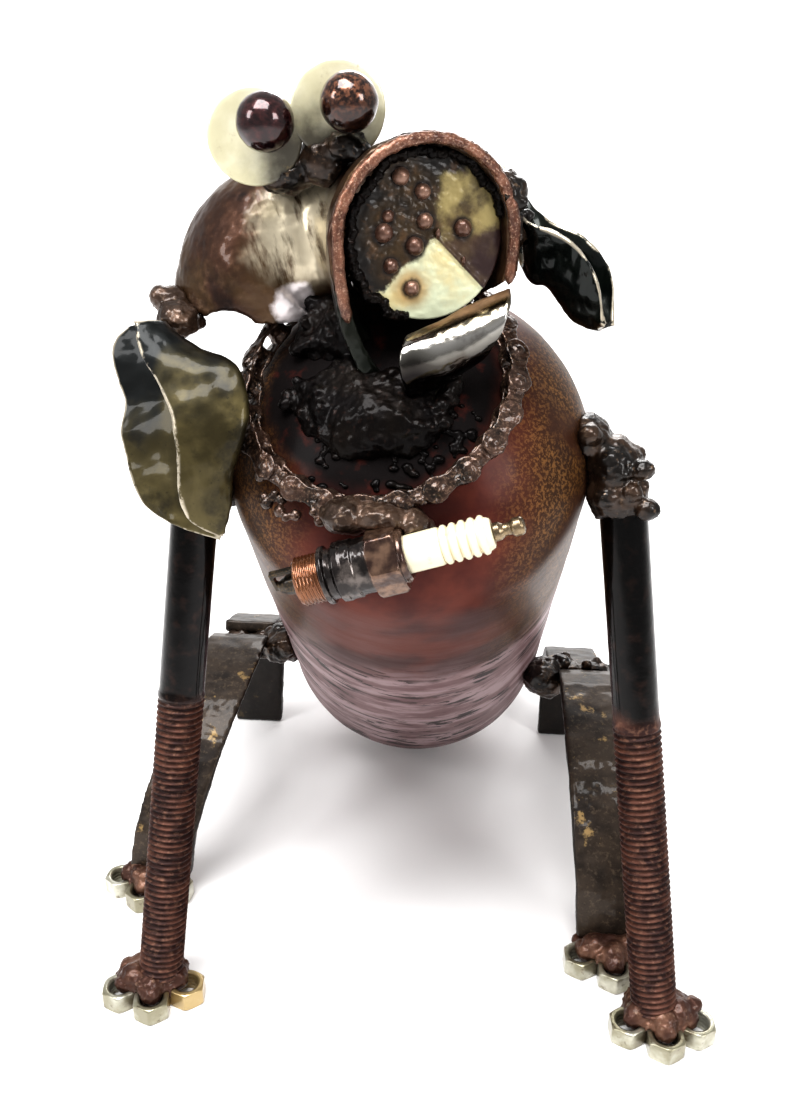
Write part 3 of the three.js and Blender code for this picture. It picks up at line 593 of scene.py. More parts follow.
SKINS = {
    "tank": tank_finish(),
    "head": head_finish(),
    "disc": disc_finish(),
    "jaw": jaw_finish(),
    "eye_left": eye_finish("left", (0.012, 0.003, 0.004), (0.05, 0.012, 0.012), (0.09, 0.03, 0.03), 0.5),
    "eye_right": eye_finish("right", (0.014, 0.005, 0.004), (0.06, 0.02, 0.012), (0.24, 0.10, 0.055), 0.9),
    "washer": washer_finish(),
    # The brass ear's near-black colour above, also laid over its inner lobe, is a painted dark reflection of
    # the head's inside.
    "ear_brass": ear_finish("ear_brass", (0.036, 0.028, 0.010), (0.088, 0.070, 0.028), (0.005, 0.006, 0.006),
                            at(-80, -60, 252), (0.012, 0.010, 0.006), -78 * MM, 0.42, 0.2),
    "ear_dark": ear_finish("ear_dark", (0.003, 0.005, 0.004), (0.010, 0.015, 0.010), (0.03, 0.03, 0.026),
                           at(50, -60, 322), (0.004, 0.004, 0.003), -1.0, 0.26, 0.4),
    "weld": weld_finish("weld", (0.006, 0.004, 0.003), (0.050, 0.028, 0.017), (0.17, 0.11, 0.068)),
    "weld_brown": weld_finish("weld_brown", (0.035, 0.020, 0.013), (0.11, 0.066, 0.044), (0.25, 0.18, 0.13)),
    "weld_black": weld_finish("weld_black", (0.003, 0.002, 0.002), (0.006, 0.004, 0.003),
                              (0.025, 0.013, 0.010), 0.42, 0.1, 0.12),
    "foot_weld": weld_finish("foot_weld", (0.06, 0.026, 0.018), (0.15, 0.075, 0.048),
                             (0.26, 0.16, 0.11), 0.45, 0.2),
    "chain": rust_finish("chain", (0.010, 0.006, 0.004), (0.065, 0.035, 0.024), (0.26, 0.165, 0.11), 110,
                         (0.2, 0.42), 0.5, 0.7, 0.5),
    "plug_steel": plug_finish(),
    "ceramic": ceramic_finish(),
    "plug_terminal": rust_finish("plug_terminal", (0.09, 0.065, 0.04), (0.26, 0.19, 0.11),
                                 (0.45, 0.38, 0.26), 160, (0.2, 0.4), 0.4, 0.9, 0.2),
    "plug_nose": rust_finish("plug_nose", (0.012, 0.012, 0.012), (0.05, 0.04, 0.03), (0.20, 0.13, 0.06),
                             150, (0.25, 0.5), 0.3, 0.8, 0.4),
    "bolt": bolt_finish(),
    "bar": bar_finish(),
    "nut": nut_finish(),
    "dots": weld_finish("dots", (0.10, 0.05, 0.035), (0.24, 0.14, 0.10), (0.40, 0.27, 0.20)),
    "rim": rust_finish("rim", (0.075, 0.030, 0.020), (0.21, 0.095, 0.060), (0.62, 0.42, 0.30), 150,
                       (0.28, 0.5), 0.35, 0.7, 0.6),
}


# ------------------------------------------------------------------ meshes

def keep_inside(mesh):
    """Holds a mesh inside the CAD model's own box, and above the floor."""
    low, high = (np.array(limit) for limit in cad_bounds)
    points = np.empty(len(mesh.vertices) * 3)
    mesh.vertices.foreach_get("co", points)
    points = np.clip(points.reshape(-1, 3), low, high)
    mesh.vertices.foreach_set("co", points.ravel())
    mesh.update()


def piece(name, mesh, skin, *nodes, slot=None):
    """A finished piece: its mesh, its finish, and the CAD nodes that it stands for."""
    keep_inside(mesh)
    mesh.materials.clear()
    mesh.materials.append(SKINS[skin])
    mesh.polygons.foreach_set("use_smooth", [True] * len(mesh.polygons))
    made = bpy.data.objects.new(name, mesh)
    bpy.context.collection.objects.link(made)
    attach(made, "root")
    if nodes:
        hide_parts(*nodes)
    return made


def mesh_of(vertices, faces, name="mesh", merge=True):
    """A mesh with all its faces pointing out."""
    mesh = bpy.data.meshes.new(name)
    mesh.from_pydata([tuple(v) for v in vertices], [], faces)
    work = bmesh.new()
    work.from_mesh(mesh)
    if merge:
        bmesh.ops.remove_doubles(work, verts=work.verts, dist=1e-6)
    bmesh.ops.recalc_face_normals(work, faces=work.faces)
    work.to_mesh(mesh)
    work.free()
    return mesh


def joined(*meshes):
    """Several meshes as one."""
    work = bmesh.new()
    for mesh in meshes:
        work.from_mesh(mesh)
    both = bpy.data.meshes.new(meshes[0].name)
    work.to_mesh(both)
    work.free()
    return both


def grid_faces(rows, columns, wrap_rows=False):
    """Quads of a grid that closes on itself along its columns."""
    last = rows if wrap_rows else rows - 1
    return [(r * columns + c, r * columns + (c + 1) % columns,
             ((r + 1) % rows) * columns + (c + 1) % columns, ((r + 1) % rows) * columns + c)
            for r in range(last) for c in range(columns)]


def turned_mesh(profile, segments, origin, axis, relief=None, name="turned"):
    """A form turned round an axis from (radius, height) pairs; relief(angle, r, y) gives the radius."""
    turn = Vector((0, 0, 1)).rotation_difference(Vector(axis))
    closed = profile[0] == profile[-1]
    rows = profile[:-1] if closed else profile
    points = []
    for r, y in rows:
        for c in range(segments):
            angle = 2 * math.pi * c / segments
            radius = relief(angle, r, y) if relief and r > 0 else r
            local = Vector((radius * math.cos(angle), radius * math.sin(angle), y)) * MM
            points.append(Vector(origin) + turn @ local)
    return mesh_of(points, grid_faces(len(rows), segments, closed), name)


def remeshed(mesh, voxel, smooth):
    """A mesh melted into one skin of small voxels, then smoothed."""
    holder = bpy.data.objects.new("holder", mesh)
    bpy.context.collection.objects.link(holder)
    step = holder.modifiers.new("remesh", "REMESH")
    step.mode = "VOXEL"
    step.voxel_size = voxel * MM
    step = holder.modifiers.new("smooth", "SMOOTH")
    step.factor = 0.5
    step.iterations = smooth
    graph = bpy.context.evaluated_depsgraph_get()
    fine = bpy.data.meshes.new_from_object(holder.evaluated_get(graph))
    bpy.data.objects.remove(holder)
    return fine


def refined(node, voxel, smooth):
    """A CAD node's mesh made fine."""
    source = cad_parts[node]
    mesh = source.data.copy()
    mesh.transform(source.matrix_world)
    fine = remeshed(mesh, voxel, smooth)
    fine.name = node
    return fine


def raise_relief(mesh, height):
    """Moves each vertex along its normal by what height(point) says, in metres."""
    mesh.update()
    normals = [Vector(n.vector) for n in mesh.vertex_normals]
    for vertex, normal in zip(mesh.vertices, normals):
        vertex.co += normal * height(vertex.co)
    mesh.update()
    return mesh


def weld_relief(seed, lump, size):
    """Overlapping blobs and runs of weld metal, a few millimetres across."""
    offset = Vector((seed * 1.7, seed * 2.3, seed * 0.9))
    step = 1 / (size * MM)

    def height(point):
        place = point * step + offset
        near = noise.voronoi(place)[0][0]
        blob = 0.55 - near
        fine = noise.fractal(point * (step * 3.2) + offset, 0.7, 2.0, 3)
        return (blob * 1.5 + fine * 0.55) * lump * MM
    return height


def pitted(depth, size):
    """Shallow dents and pits, as a height for raise_relief."""
    step = 1 / (size * MM)

    def height(point):
        return (noise.fractal(point * step, 0.8, 2.0, 4) - 0.15) * depth * MM
    return height


def ball(centre, radius, segments, squash=(1, 1, 1)):
    """A round ball of quads, or one squashed along the axes."""
    rows = segments // 2
    points = []
    for r in range(rows + 1):
        polar = math.pi * r / rows
        for c in range(segments):
            angle = 2 * math.pi * c / segments
            local = Vector((math.sin(polar) * math.cos(angle) * squash[0],
                            math.sin(polar) * math.sin(angle) * squash[1], math.cos(polar) * squash[2]))
            points.append(Vector(centre) + local * radius)
    return mesh_of(points, grid_faces(rows + 1, segments), "ball")


def bead(path, radius, ripple, pitch, sides, seed=0.0):
    """A run of weld laid along a path of points: a round cord with overlapping ripples."""
    count = len(path)
    points = []
    travelled = 0.0
    for i, here in enumerate(path):
        ahead = path[min(i + 1, count - 1)] - path[max(i - 1, 0)]
        tangent = ahead.normalized()
        side = tangent.cross(Vector((0.31, 0.22, 0.93))).normalized()
        up = side.cross(tangent)
        if i:
            travelled += (path[i] - path[i - 1]).length / MM
        wave = (travelled / pitch) % 1.0
        end = min(1.0, min(i, count - 1 - i) / 3)
        size = radius * MM * (1 + ripple * (0.5 - wave)) * math.sqrt(max(end, 0.0))
        for c in range(sides):
            angle = 2 * math.pi * c / sides
            wobble = 1 + 0.22 * noise.noise(here * 300 + Vector((angle, seed, 0)))
            points.append(here + (side * math.cos(angle) + up * math.sin(angle)) * (size * wobble))
    return mesh_of(points, grid_faces(count, sides), "bead")


def scattered(mesh, count, seed):
    """Points spread at random over a mesh, with the normal at each."""
    rng = np.random.default_rng(seed)
    mesh.calc_loop_triangles()
    corners = [[mesh.vertices[i].co for i in t.vertices] for t in mesh.loop_triangles]
    areas = np.array([t.area for t in mesh.loop_triangles])
    picks = rng.choice(len(areas), size=count, p=areas / areas.sum())
    spots = []
    for pick in picks:
        u, v = rng.random(2)
        if u + v > 1:
            u, v = 1 - u, 1 - v
        a, b, c = corners[pick]
        spots.append((a + (b - a) * u + (c - a) * v, mesh.loop_triangles[pick].normal.copy(), rng.random()))
    return spots


def weld_mass(node, blobs, size, voxel, smooth, seed, proud, extra=()):
    """Weld metal built up in overlapping drops over the CAD lump, melted into one skin."""
    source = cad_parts[node].data.copy()
    parts = [source, *extra]
    for spot, normal, share in scattered(source, blobs, seed):
        radius = (size[0] + (size[1] - size[0]) * share) * MM
        centre = spot - normal * radius * (1 - proud)
        low = centre.z - radius
        if low < 0.3 * MM:
            continue
        squash = (1, 0.75 + 0.4 * share, 0.85)
        parts.append(ball(centre, radius, 14, squash))
    fine = remeshed(joined(*parts), voxel, smooth)
    fine.name = node
    return raise_relief(fine, weld_relief(seed, 0.6, 5.0))


# ------------------------------------------------------------------ tank

def tank():
    rows = 48
    profile = []
    for i in range(rows + 1):
        angle = math.pi / 2 * (1 - i / rows)
        profile.append((TANK_WIDE * math.cos(angle), -TANK_FOOT * math.sin(angle)))
    length = TANK_LENGTH / MM
    for i in range(1, rows):
        profile.append((TANK_WIDE, length * i / rows))
    for i in range(rows + 1):
        angle = math.pi / 2 * i / rows
        profile.append((TANK_WIDE * math.cos(angle), length + TANK_TOP * math.sin(angle)))
    mesh = turned_mesh(profile, 144, TANK_LOW, TANK_AXIS, name="tank")
    pits = pitted(0.35, 30)
    raise_relief(mesh, lambda p: pits(p) - 0.2 * MM)
    piece("tank", mesh, "tank", "body_tank")


# ------------------------------------------------------------------ head

RIM_CENTRE = at(6.2, -76, 313.4)
RIM_RIGHT = Vector((math.cos(FACE_TURN), math.sin(FACE_TURN), 0))


def nearest(node):
    """The distance from a point to a CAD node's surface, as a function."""
    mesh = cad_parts[node].data
    tree = BVHTree.FromPolygons([v.co for v in mesh.vertices], [p.vertices for p in mesh.polygons])
    return lambda point: tree.find_nearest(point)[3]


HEAD_PATH = (at(6.2, -76, 313.4),
             at(6.2 - 22 * math.sin(FACE_TURN), -76 + 22 * math.cos(FACE_TURN), 313.4),
             at(-27, -36, 309), at(-51, -31, 300), at(-62, -33, 275))
HEAD_RADII = ((0, 33), (0.06, 32.8), (0.2, 30), (0.42, 26.5), (0.6, 30), (0.8, 34.5), (1, 33))
HEAD_WALL = 4
JOWL_STRETCH = 0.85


def smoothstep(x, low, high):
    """A soft step from 0 to 1."""
    x = max(0.0, min(1.0, (x - low) / (high - low)))
    return x * x * (3 - 2 * x)


def curve(points, steps=60):
    """A centripetal spline through some points, with the same number of steps in every span."""
    padded = [2 * points[0] - points[1], *points, 2 * points[-1] - points[-2]]
    fine = []
    for p0, p1, p2, p3 in zip(padded, padded[1:], padded[2:], padded[3:]):
        d0, d1, d2 = ((b - a).length ** 0.5 for a, b in ((p0, p1), (p1, p2), (p2, p3)))
        t1 = ((p1 - p0) / d0 - (p2 - p0) / (d0 + d1) + (p2 - p1) / d1) * d1
        t2 = ((p2 - p1) / d1 - (p3 - p1) / (d1 + d2) + (p3 - p2) / d2) * d1
        for k in range(steps):
            t = k / steps
            bend = (3 * (p2 - p1) - 2 * t1 - t2) * t * t
            fine.append(p1 + t1 * t + bend + (2 * (p1 - p2) + t1 + t2) * t ** 3)
    fine.append(points[-1])
    return fine


def spline(points, count):
    """Evenly spaced points along a centripetal spline through some points."""
    fine = curve(points)
    lengths = np.concatenate([[0], np.cumsum([(b - a).length for a, b in zip(fine, fine[1:])])])
    stops = np.linspace(0, lengths[-1], count)
    return [Vector([np.interp(stop, lengths, [p[i] for p in fine]) for i in range(3)]) for stop in stops]


def head_radius(s):
    """The head tube's radius at a share of its length."""
    for (s0, r0), (s1, r1) in zip(HEAD_RADII, HEAD_RADII[1:]):
        if s <= s1:
            return r0 + (r1 - r0) * smoothstep(s, s0, s1)
    return HEAD_RADII[-1][1]


def head_tube(rows=96, sides=128):
    path = spline(HEAD_PATH, rows + 1)
    side = Vector((0, 0, 1)).cross(path[1] - path[0]).normalized()
    points = []
    for wall in (0, HEAD_WALL):
        for row in range(rows + 1):
            index = row if wall == 0 else rows - row
            s = index / rows
            ahead = (path[min(index + 1, rows)] - path[max(index - 1, 0)]).normalized()
            across = (side - ahead * side.dot(ahead)).normalized()
            over = ahead.cross(across)
            flare = 0.9 * (1 - smoothstep(s, 0.0, 0.05))
            radius = head_radius(s) - wall + (flare if wall == 0 else -flare * 0.4)
            stretch = 1 + JOWL_STRETCH * (1 - smoothstep(s, 0.1, 0.5))
            for c in range(sides):
                angle = 2 * math.pi * c / sides
                offset = (across * math.cos(angle) + over * math.sin(angle)) * (radius * MM)
                if offset.z < 0:
                    offset.z *= stretch
                points.append(path[index] + offset)
    return mesh_of(points, grid_faces(2 * (rows + 1), sides, True), "head", merge=False)


def cut_away(mesh, tools):
    """The mesh with some shapes taken out of it."""
    holder = bpy.data.objects.new("holder", mesh)
    bpy.context.collection.objects.link(holder)
    helpers = []
    for tool in tools:
        helper = bpy.data.objects.new("tool", tool)
        bpy.context.collection.objects.link(helper)
        step = holder.modifiers.new("cut", "BOOLEAN")
        step.operation = "DIFFERENCE"
        step.solver = "FAST"
        step.object = helper
        helpers.append(helper)
    graph = bpy.context.evaluated_depsgraph_get()
    left = bpy.data.meshes.new_from_object(holder.evaluated_get(graph))
    for thing in (holder, *helpers):
        bpy.data.objects.remove(thing)
    return left


def box_tool(size, centre, turn_y=0, turn_z=0):
    work = bmesh.new()
    bmesh.ops.create_cube(work, size=1)
    turn = Matrix.Rotation(math.radians(turn_y), 4, "Y") @ Matrix.Rotation(math.radians(turn_z), 4, "Z")
    place = Matrix.Translation(at(*centre)) @ turn @ Matrix.Diagonal((*(v * MM for v in size), 1))
    work.transform(place)
    mesh = bpy.data.meshes.new("tool")
    work.to_mesh(mesh)
    work.free()
    return mesh


def head():
    """A curved tube that flares at the muzzle and hangs lower at its sides, cut open below."""
    arch = turned_mesh([(0, -60), (13, -60), (13, 60), (0, 60)], 48, at(-66, -40, 272.5), (0, 1, 0))
    tools = [box_tool((150, 70, 60), (25, -82, 252), -40, 24), box_tool((70, 120, 60), (-72, -30, 251)),
             box_tool((60, 60, 40), (-22, -40, 257)), arch]
    solid = remeshed(head_tube(), 1.0, 1)
    mesh = remeshed(cut_away(solid, tools), 1.0, 2)
    dents = pitted(0.8, 20)
    grain = pitted(0.12, 2.0)
    raise_relief(mesh, lambda p: dents(p) + grain(p))
    piece("head", mesh, "head", "head_shell")
    distance = nearest("head_shell")
    path = []
    for i in range(240):
        angle = math.radians(-60 + 300 * i / 239)
        drop = 1 + JOWL_STRETCH if math.sin(angle) < 0 else 1
        point = RIM_CENTRE + RIM_RIGHT * (RIM_RADIUS * MM * math.cos(angle))
        point = point + Vector((0, 0, RIM_RADIUS * MM * drop * math.sin(angle))) + FACE * (0.2 * MM)
        if distance(point) < RIM_REACH * MM and point.z > RIM_END:
            path.append(point)
    piece("rim", bead(path, 2.0, 0.10, 2.6, 20, seed=3), "rim", slot="head")


def nose_disc():
    """The sheet disc in the muzzle: a cut edge, a crease with burrs, and dots of weld."""
    rings, sides = 44, 160
    crease_start = np.array(CREASE_START)
    run = np.array(CREASE_END) - crease_start
    run_length = np.linalg.norm(run)
    run = run / run_length
    across = np.array([-run[1], run[0]])

    def lift(x, y):
        offset = np.array([x, y]) - crease_start
        s, t = offset @ run, offset @ across
        inside = max(0.0, min(1.0, (s + 2) / 4)) * max(0.0, min(1.0, (run_length + 4 - s) / 4))
        if t > -0.2:
            fold = 0.75 * inside * max(0.0, 1 - abs(t - 0.6) / 1.6)
        else:
            fold = -0.25 * inside * max(0, 1 + t / 3)
        rough = 0.16 * noise.fractal(Vector((x, y, 0)) * 0.45, 0.8, 2.0, 4)
        sooty = max(0.0, min(1.0, (y - 0.9 * x - 2) / 10))
        return fold + rough + sooty * 0.55 * noise.noise(Vector((x, y, 5)) * 0.7)

    def edge(angle):
        top = max(0.0, math.sin(angle + 0.5))
        return 1 - 0.004 - top * 0.03 * (1 + noise.noise(Vector((math.cos(angle), math.sin(angle), 2)) * 6))

    front, back = [], []
    for r in range(rings + 1):
        for c in range(sides):
            angle = 2 * math.pi * c / sides
            radius = 27.3 * edge(angle) * r / rings
            x, y = radius * math.cos(angle), radius * math.sin(angle)
            front.append(disc_point(x, y, 0.8 + lift(x, y)))
            back.append(disc_point(x, y, -0.8))
    count = len(front)
    faces = grid_faces(rings + 1, sides)
    both = faces + [tuple(count + i for i in reversed(f)) for f in faces]
    last = rings * sides
    both += [(last + c, last + (c + 1) % sides, count + last + (c + 1) % sides, count + last + c)
             for c in range(sides)]
    sheet = mesh_of(front + back, both)
    piece("nose_disc_sheet", sheet, "disc", "nose_disc")
    drops = []
    for i, (x, y, radius) in enumerate(DISC_DOTS):
        dot = ball(disc_point(x, y, 0.9), radius * MM, 26)
        raise_relief(dot, weld_relief(i + 3, 0.22, 2.4))
        drops.append(dot)
    for spot in (crease_start, crease_start + run * 13.2):
        base = disc_point(*spot, 0.6)
        tip = disc_point(*(spot + across * 2.6 - run * 3.0), 2.4)
        drops.append(bead([base.lerp(tip, k / 8) for k in range(9)], 0.9, 0.1, 2, 10))
    piece("nose_dots", joined(*drops), "dots", slot="weld")
    seam = []
    for k in range(200):
        angle = math.radians(10 + 245 * k / 199)
        ragged = 27.2 - 2.4 * noise.noise(Vector((math.cos(angle) * 4, math.sin(angle) * 4, 7)))
        seam.append(disc_point(ragged * math.cos(angle), ragged * math.sin(angle), 1.2))
    ring = remeshed(bead(seam, 1.8, 0.5, 3.6, 18, seed=8), 0.4, 2)
    raise_relief(ring, weld_relief(12, 0.5, 3.0))
    piece("nose_seam", ring, "weld_black", slot="weld")


def bent_sheet(lines, thickness, rows, columns, name):
    """A curved plate through three lines of points, with rounded edges.

    Its vertices carry how near they are to an edge, which the finish uses for rubbed wear with a painted
    highlight, and how far across the plate ("down").
    """
    half = thickness / 2 * MM
    first, fold, last = (curve([at(*p) for p in line], rows) for line in lines)
    count = len(first)
    border = (0, 0.08, 0.3, 0.6, 1.0)
    width = max((a - b).length + (b - c).length for a, b, c in zip(first, fold, last))
    inset = [b * half / width for b in border]
    across = inset + list(np.linspace(inset[-1], 1 - inset[-1], columns)[1:-1])
    across += [1 - b for b in reversed(inset)]
    grid = [[f * (1 - u) ** 2 + (m * 2 - f * 0.5 - b * 0.5) * (2 * u * (1 - u)) + b * u ** 2 for u in across]
            for f, m, b in zip(first, fold, last)]
    wide = len(across)
    front, back, edge_wear_and_sheen, down = [], [], [], []
    for r in range(count):
        for c in range(wide):
            here = grid[r][c]
            along_v = grid[min(r + 1, count - 1)][c] - grid[max(r - 1, 0)][c]
            near, far = max(c - 3, 0), min(c + 3, wide - 1)
            normal = (grid[r][far] - grid[r][near]).cross(along_v).normalized()
            gap = min((here - grid[r][0]).length, (here - grid[r][-1]).length,
                      (here - grid[0][c]).length, (here - grid[-1][c]).length)
            depth = half * math.sqrt(max(0.02, 1 - (1 - min(1.0, gap / half)) ** 2))
            front.append(here + normal * depth)
            back.append(here - normal * depth)
            edge_wear_and_sheen.append(max(0.0, 1 - gap / (2.4 * MM)))
            down.append(across[c])
    size = len(front)
    faces = [(r * wide + c, r * wide + c + 1, (r + 1) * wide + c + 1, (r + 1) * wide + c)
             for r in range(count - 1) for c in range(wide - 1)]
    faces += [tuple(size + i for i in reversed(f)) for f in faces]
    loop = list(range(wide)) + [r * wide + wide - 1 for r in range(1, count)]
    loop += [(count - 1) * wide + c for c in range(wide - 2, -1, -1)]
    loop += [r * wide for r in range(count - 2, 0, -1)]
    faces += [(a, size + a, size + b, b) for a, b in zip(loop, loop[1:] + loop[:1])]
    mesh = mesh_of(front + back, faces, name, merge=False)
    for key, values in (("edge_wear_and_sheen", edge_wear_and_sheen * 2), ("down", down * 2)):
        mesh.attributes.new(key, "FLOAT", "POINT").data.foreach_set("value", values)
    return mesh


# The jaw plate's lip, its bend and its lower edge; then the front edge, fold and back edge of each ear.
JAW_LINES = (((0, -84, 282), (11, -83, 287), (22, -81, 293), (34, -80, 298)),
             ((-2, -94, 276), (10, -93, 279), (23, -92, 284), (33, -90, 290)),
             ((1, -90, 263), (8, -88, 265), (17, -86, 270), (26, -84, 276)))
EAR_LINES = {
    "left": (((-95, -80, 285), (-92, -86, 276), (-85, -92, 266), (-79, -98, 257), (-77, -101, 247),
              (-77, -103, 234), (-75, -102, 222), (-65, -98, 212)),
             ((-88, -70, 283), (-74, -77, 274), (-60, -84, 271), (-55, -90, 260), (-57, -94, 251),
              (-60, -96, 239), (-62, -97, 225), (-64, -98, 213)),
             ((-102, -62, 279), (-108, -64, 273), (-108, -67, 265), (-104, -71, 253), (-105, -75, 243),
              (-101, -81, 230), (-94, -89, 219), (-65, -98, 211))),
    "right": (((35, -56, 321), (40, -60, 317), (47, -63, 315), (55, -66, 311), (61, -67, 304),
               (65, -67, 295), (67, -66, 283)),
              ((38, -50, 302), (42, -52, 296), (46, -54, 295), (52, -55, 290), (57, -56, 284),
               (62, -58, 282), (67, -60, 281)),
              ((26, -38, 335), (32, -39, 332), (37, -41, 325), (46, -42, 316), (60, -46, 310),
               (70, -51, 298), (71, -58, 282))),
}


def lower_jaw():
    mesh = bent_sheet(JAW_LINES, SHEET, 22, 56, "lower_jaw")
    raise_relief(mesh, pitted(0.3, 12))
    piece("lower_jaw_plate", mesh, "jaw", "lower_jaw")


EYE_VIEW = Vector((0.16, -1, 0.02)).normalized()
EYES = {"left": (at(-46.2, -78, 349), (-4, 0, -4.8)), "right": (at(-19.6, -74, 354.8), (-3.2, 0, -2.4))}


def eyes():
    for side, (centre, back) in EYES.items():
        eyeball = ball(centre, EYE_RADIUS * MM, 64)
        grain = pitted(0.14, 3.0)
        raise_relief(eyeball, lambda p: grain(p) - 0.08 * MM)
        piece(f"eye_{side}", eyeball, f"eye_{side}", f"eye_ball_{side}")
        seat = centre + Vector(back) * MM - EYE_VIEW * (EYE_TO_WASHER * MM)
        profile = [(0, 0.6), (6, 0.62), (12.8, 0.7), (14.4, 0.74), (15.2, 0.62), (15.62, 0.25), (15.7, -0.2),
                   (15.5, -0.6), (15.0, -0.72), (8, -0.7), (0, -0.7)]
        disc = turned_mesh(finer(profile, 0.8), 128, seat, EYE_VIEW)
        raise_relief(disc, pitted(0.18, 11))
        piece(f"eye_washer_{side}", disc, "washer", f"eye_disc_{side}")
        neck_start = seat + EYE_VIEW * 0.5 * MM
        piece(f"eye_tack_{side}", bead([neck_start.lerp(centre, k / 6) for k in range(7)], 4.2, 0.15, 3, 18),
              "weld")


def finer(profile, step):
    """A profile with points added so that none are further apart than a step, in millimetres."""
    points = [profile[0]]
    for (r0, y0), (r1, y1) in zip(profile, profile[1:]):
        count = max(1, math.ceil(math.hypot(r1 - r0, y1 - y0) / step))
        points += [(r0 + (r1 - r0) * k / count, y0 + (y1 - y0) * k / count) for k in range(1, count + 1)]
    return points


def ears():
    for side, skin in (("left", "ear_brass"), ("right", "ear_dark")):
        mesh = bent_sheet(EAR_LINES[side], SHEET, 10, 56, f"ear_{side}")
        raise_relief(mesh, pitted(0.8, 15))
        piece(f"ear_sheet_{side}", mesh, skin, f"ear_{side}")


# ------------------------------------------------------------------ collar and plug

def on_dome(radius, angle, lift):
    """A point over the tank's upper dome, and the normal there."""
    along = TANK_TOP * math.sqrt(1 - (radius / TANK_WIDE) ** 2)
    outward = TANK_RIGHT * math.sin(angle) + TANK_DOWN * math.cos(angle)
    normal = (outward * (radius / TANK_WIDE ** 2) + TANK_AXIS * (along / TANK_TOP ** 2)).normalized()
    return TANK_HIGH + (TANK_AXIS * along + outward * radius + normal * lift) * MM, normal


def collar_spot(angle):
    """Where the collar runs at an angle round the tank: an egg shape with one sharper corner."""
    corner_offset = angle + math.pi / 4
    radius = 44.5 - 9.5 * math.sin(angle) - 5 * math.cos(angle) + 6 * math.exp(-((corner_offset / 0.35) ** 2))
    return on_dome(radius, angle, 5.2)


def link_plate(a, b, up, thickness, height, width, waist=3.0, sides=14):
    """A figure-eight side plate from pin a to pin b, at a height over the chain's middle plane."""
    run = (b - a).normalized()
    across = up.cross(run).normalized()
    half = (b - a).length / 2 / MM
    outline = []
    for end in (1, -1):
        for k in range(sides + 1):
            angle = math.radians(-125 + 250 * k / sides)
            outline.append((end * (half + width * math.cos(angle)), end * width * math.sin(angle)))
    outline.insert(sides + 1, (0, waist))
    outline.append((0, -waist))
    centre = (a + b) / 2
    bevel = 0.3
    bottom, top = height - thickness / 2, height + thickness / 2
    layers = ((bottom, -bevel), (bottom + bevel, 0), (top - bevel, 0), (top, -bevel))
    points = []
    for level, inset in layers:
        for x, y in outline:
            size = math.hypot(x, y)
            scale = (size + inset) / size
            points.append(centre + (run * (x * scale) + across * (y * scale) + up * level) * MM)
    count = len(outline)
    faces = grid_faces(len(layers), count)
    for level in (0, len(layers) - 1):
        mid = len(points)
        points.append(sum((points[level * count + i] for i in range(count)), Vector()) / count)
        faces += [(level * count + i, level * count + (i + 1) % count, mid) for i in range(count)]
    return mesh_of(points, faces)


def collar():
    """A bicycle roller chain: pins, rollers, and inner and outer plates by turns."""
    samples = [collar_spot(2 * math.pi * i / 720)[0] for i in range(721)]
    lengths = np.concatenate([[0], np.cumsum([(b - a).length for a, b in zip(samples, samples[1:])])])
    links = 2 * round(lengths[-1] / (CHAIN_PITCH * MM) / 2)
    pins = []
    for i in range(links):
        angle = 2 * math.pi * np.interp(lengths[-1] * i / links, lengths, np.arange(721)) / 720
        pins.append(collar_spot(angle))
    parts = []
    for i, (a, up_a) in enumerate(pins):
        b, up_b = pins[(i + 1) % links]
        up = (up_a + up_b).normalized()
        level = 3.1 if i % 2 else 2.1
        for side in (1, -1):
            parts.append(link_plate(a, b, up, 0.95, side * level, 4.7 if i % 2 else 4.4))
        roller = [(0, -1.5), (3.6, -1.5), (3.85, -1.2), (3.85, 1.2), (3.6, 1.5), (0, 1.5)]
        pin = [(0, -4.3), (1.3, -4.3), (1.8, -3.9), (1.8, 3.9), (1.3, 4.3), (0, 4.3)]
        parts += [turned_mesh(roller, 20, a, up_a), turned_mesh(pin, 16, a, up_a)]
    rng = np.random.default_rng(5)
    for _ in range(55):
        spot, up = collar_spot(rng.uniform(-2.0, 0.9))
        jitter = Vector(rng.uniform(-1, 1, 3)) * (2.0 * MM)
        parts.append(ball(spot + jitter + up * 1.5 * MM, rng.uniform(1.3, 2.4) * MM, 12))
    mesh = remeshed(joined(*parts), 0.56, 1)
    raise_relief(mesh, pitted(0.25, 2.2))
    piece("collar_links", mesh, "chain", "collar_chain")


def hexagon(across, turn=0.0):
    """The reach of a hexagon's side by angle."""
    def reach(angle):
        return across / 2 / math.cos((angle - turn + math.pi / 6) % (math.pi / 3) - math.pi / 6)
    return reach


def thread(pitch, depth):
    """How far a screw thread stands below its crest, by angle and height."""
    def cut(angle, y):
        phase = (y / pitch - angle / (2 * math.pi)) % 1.0
        return depth * min(1.0, abs(phase - 0.5) * 2.6) ** 1.1
    return cut


def on_plug(profile, relief=None, segments=72):
    """A form turned round the spark plug's axis."""
    return turned_mesh(profile, segments, PLUG_START, PLUG_AXIS, relief)


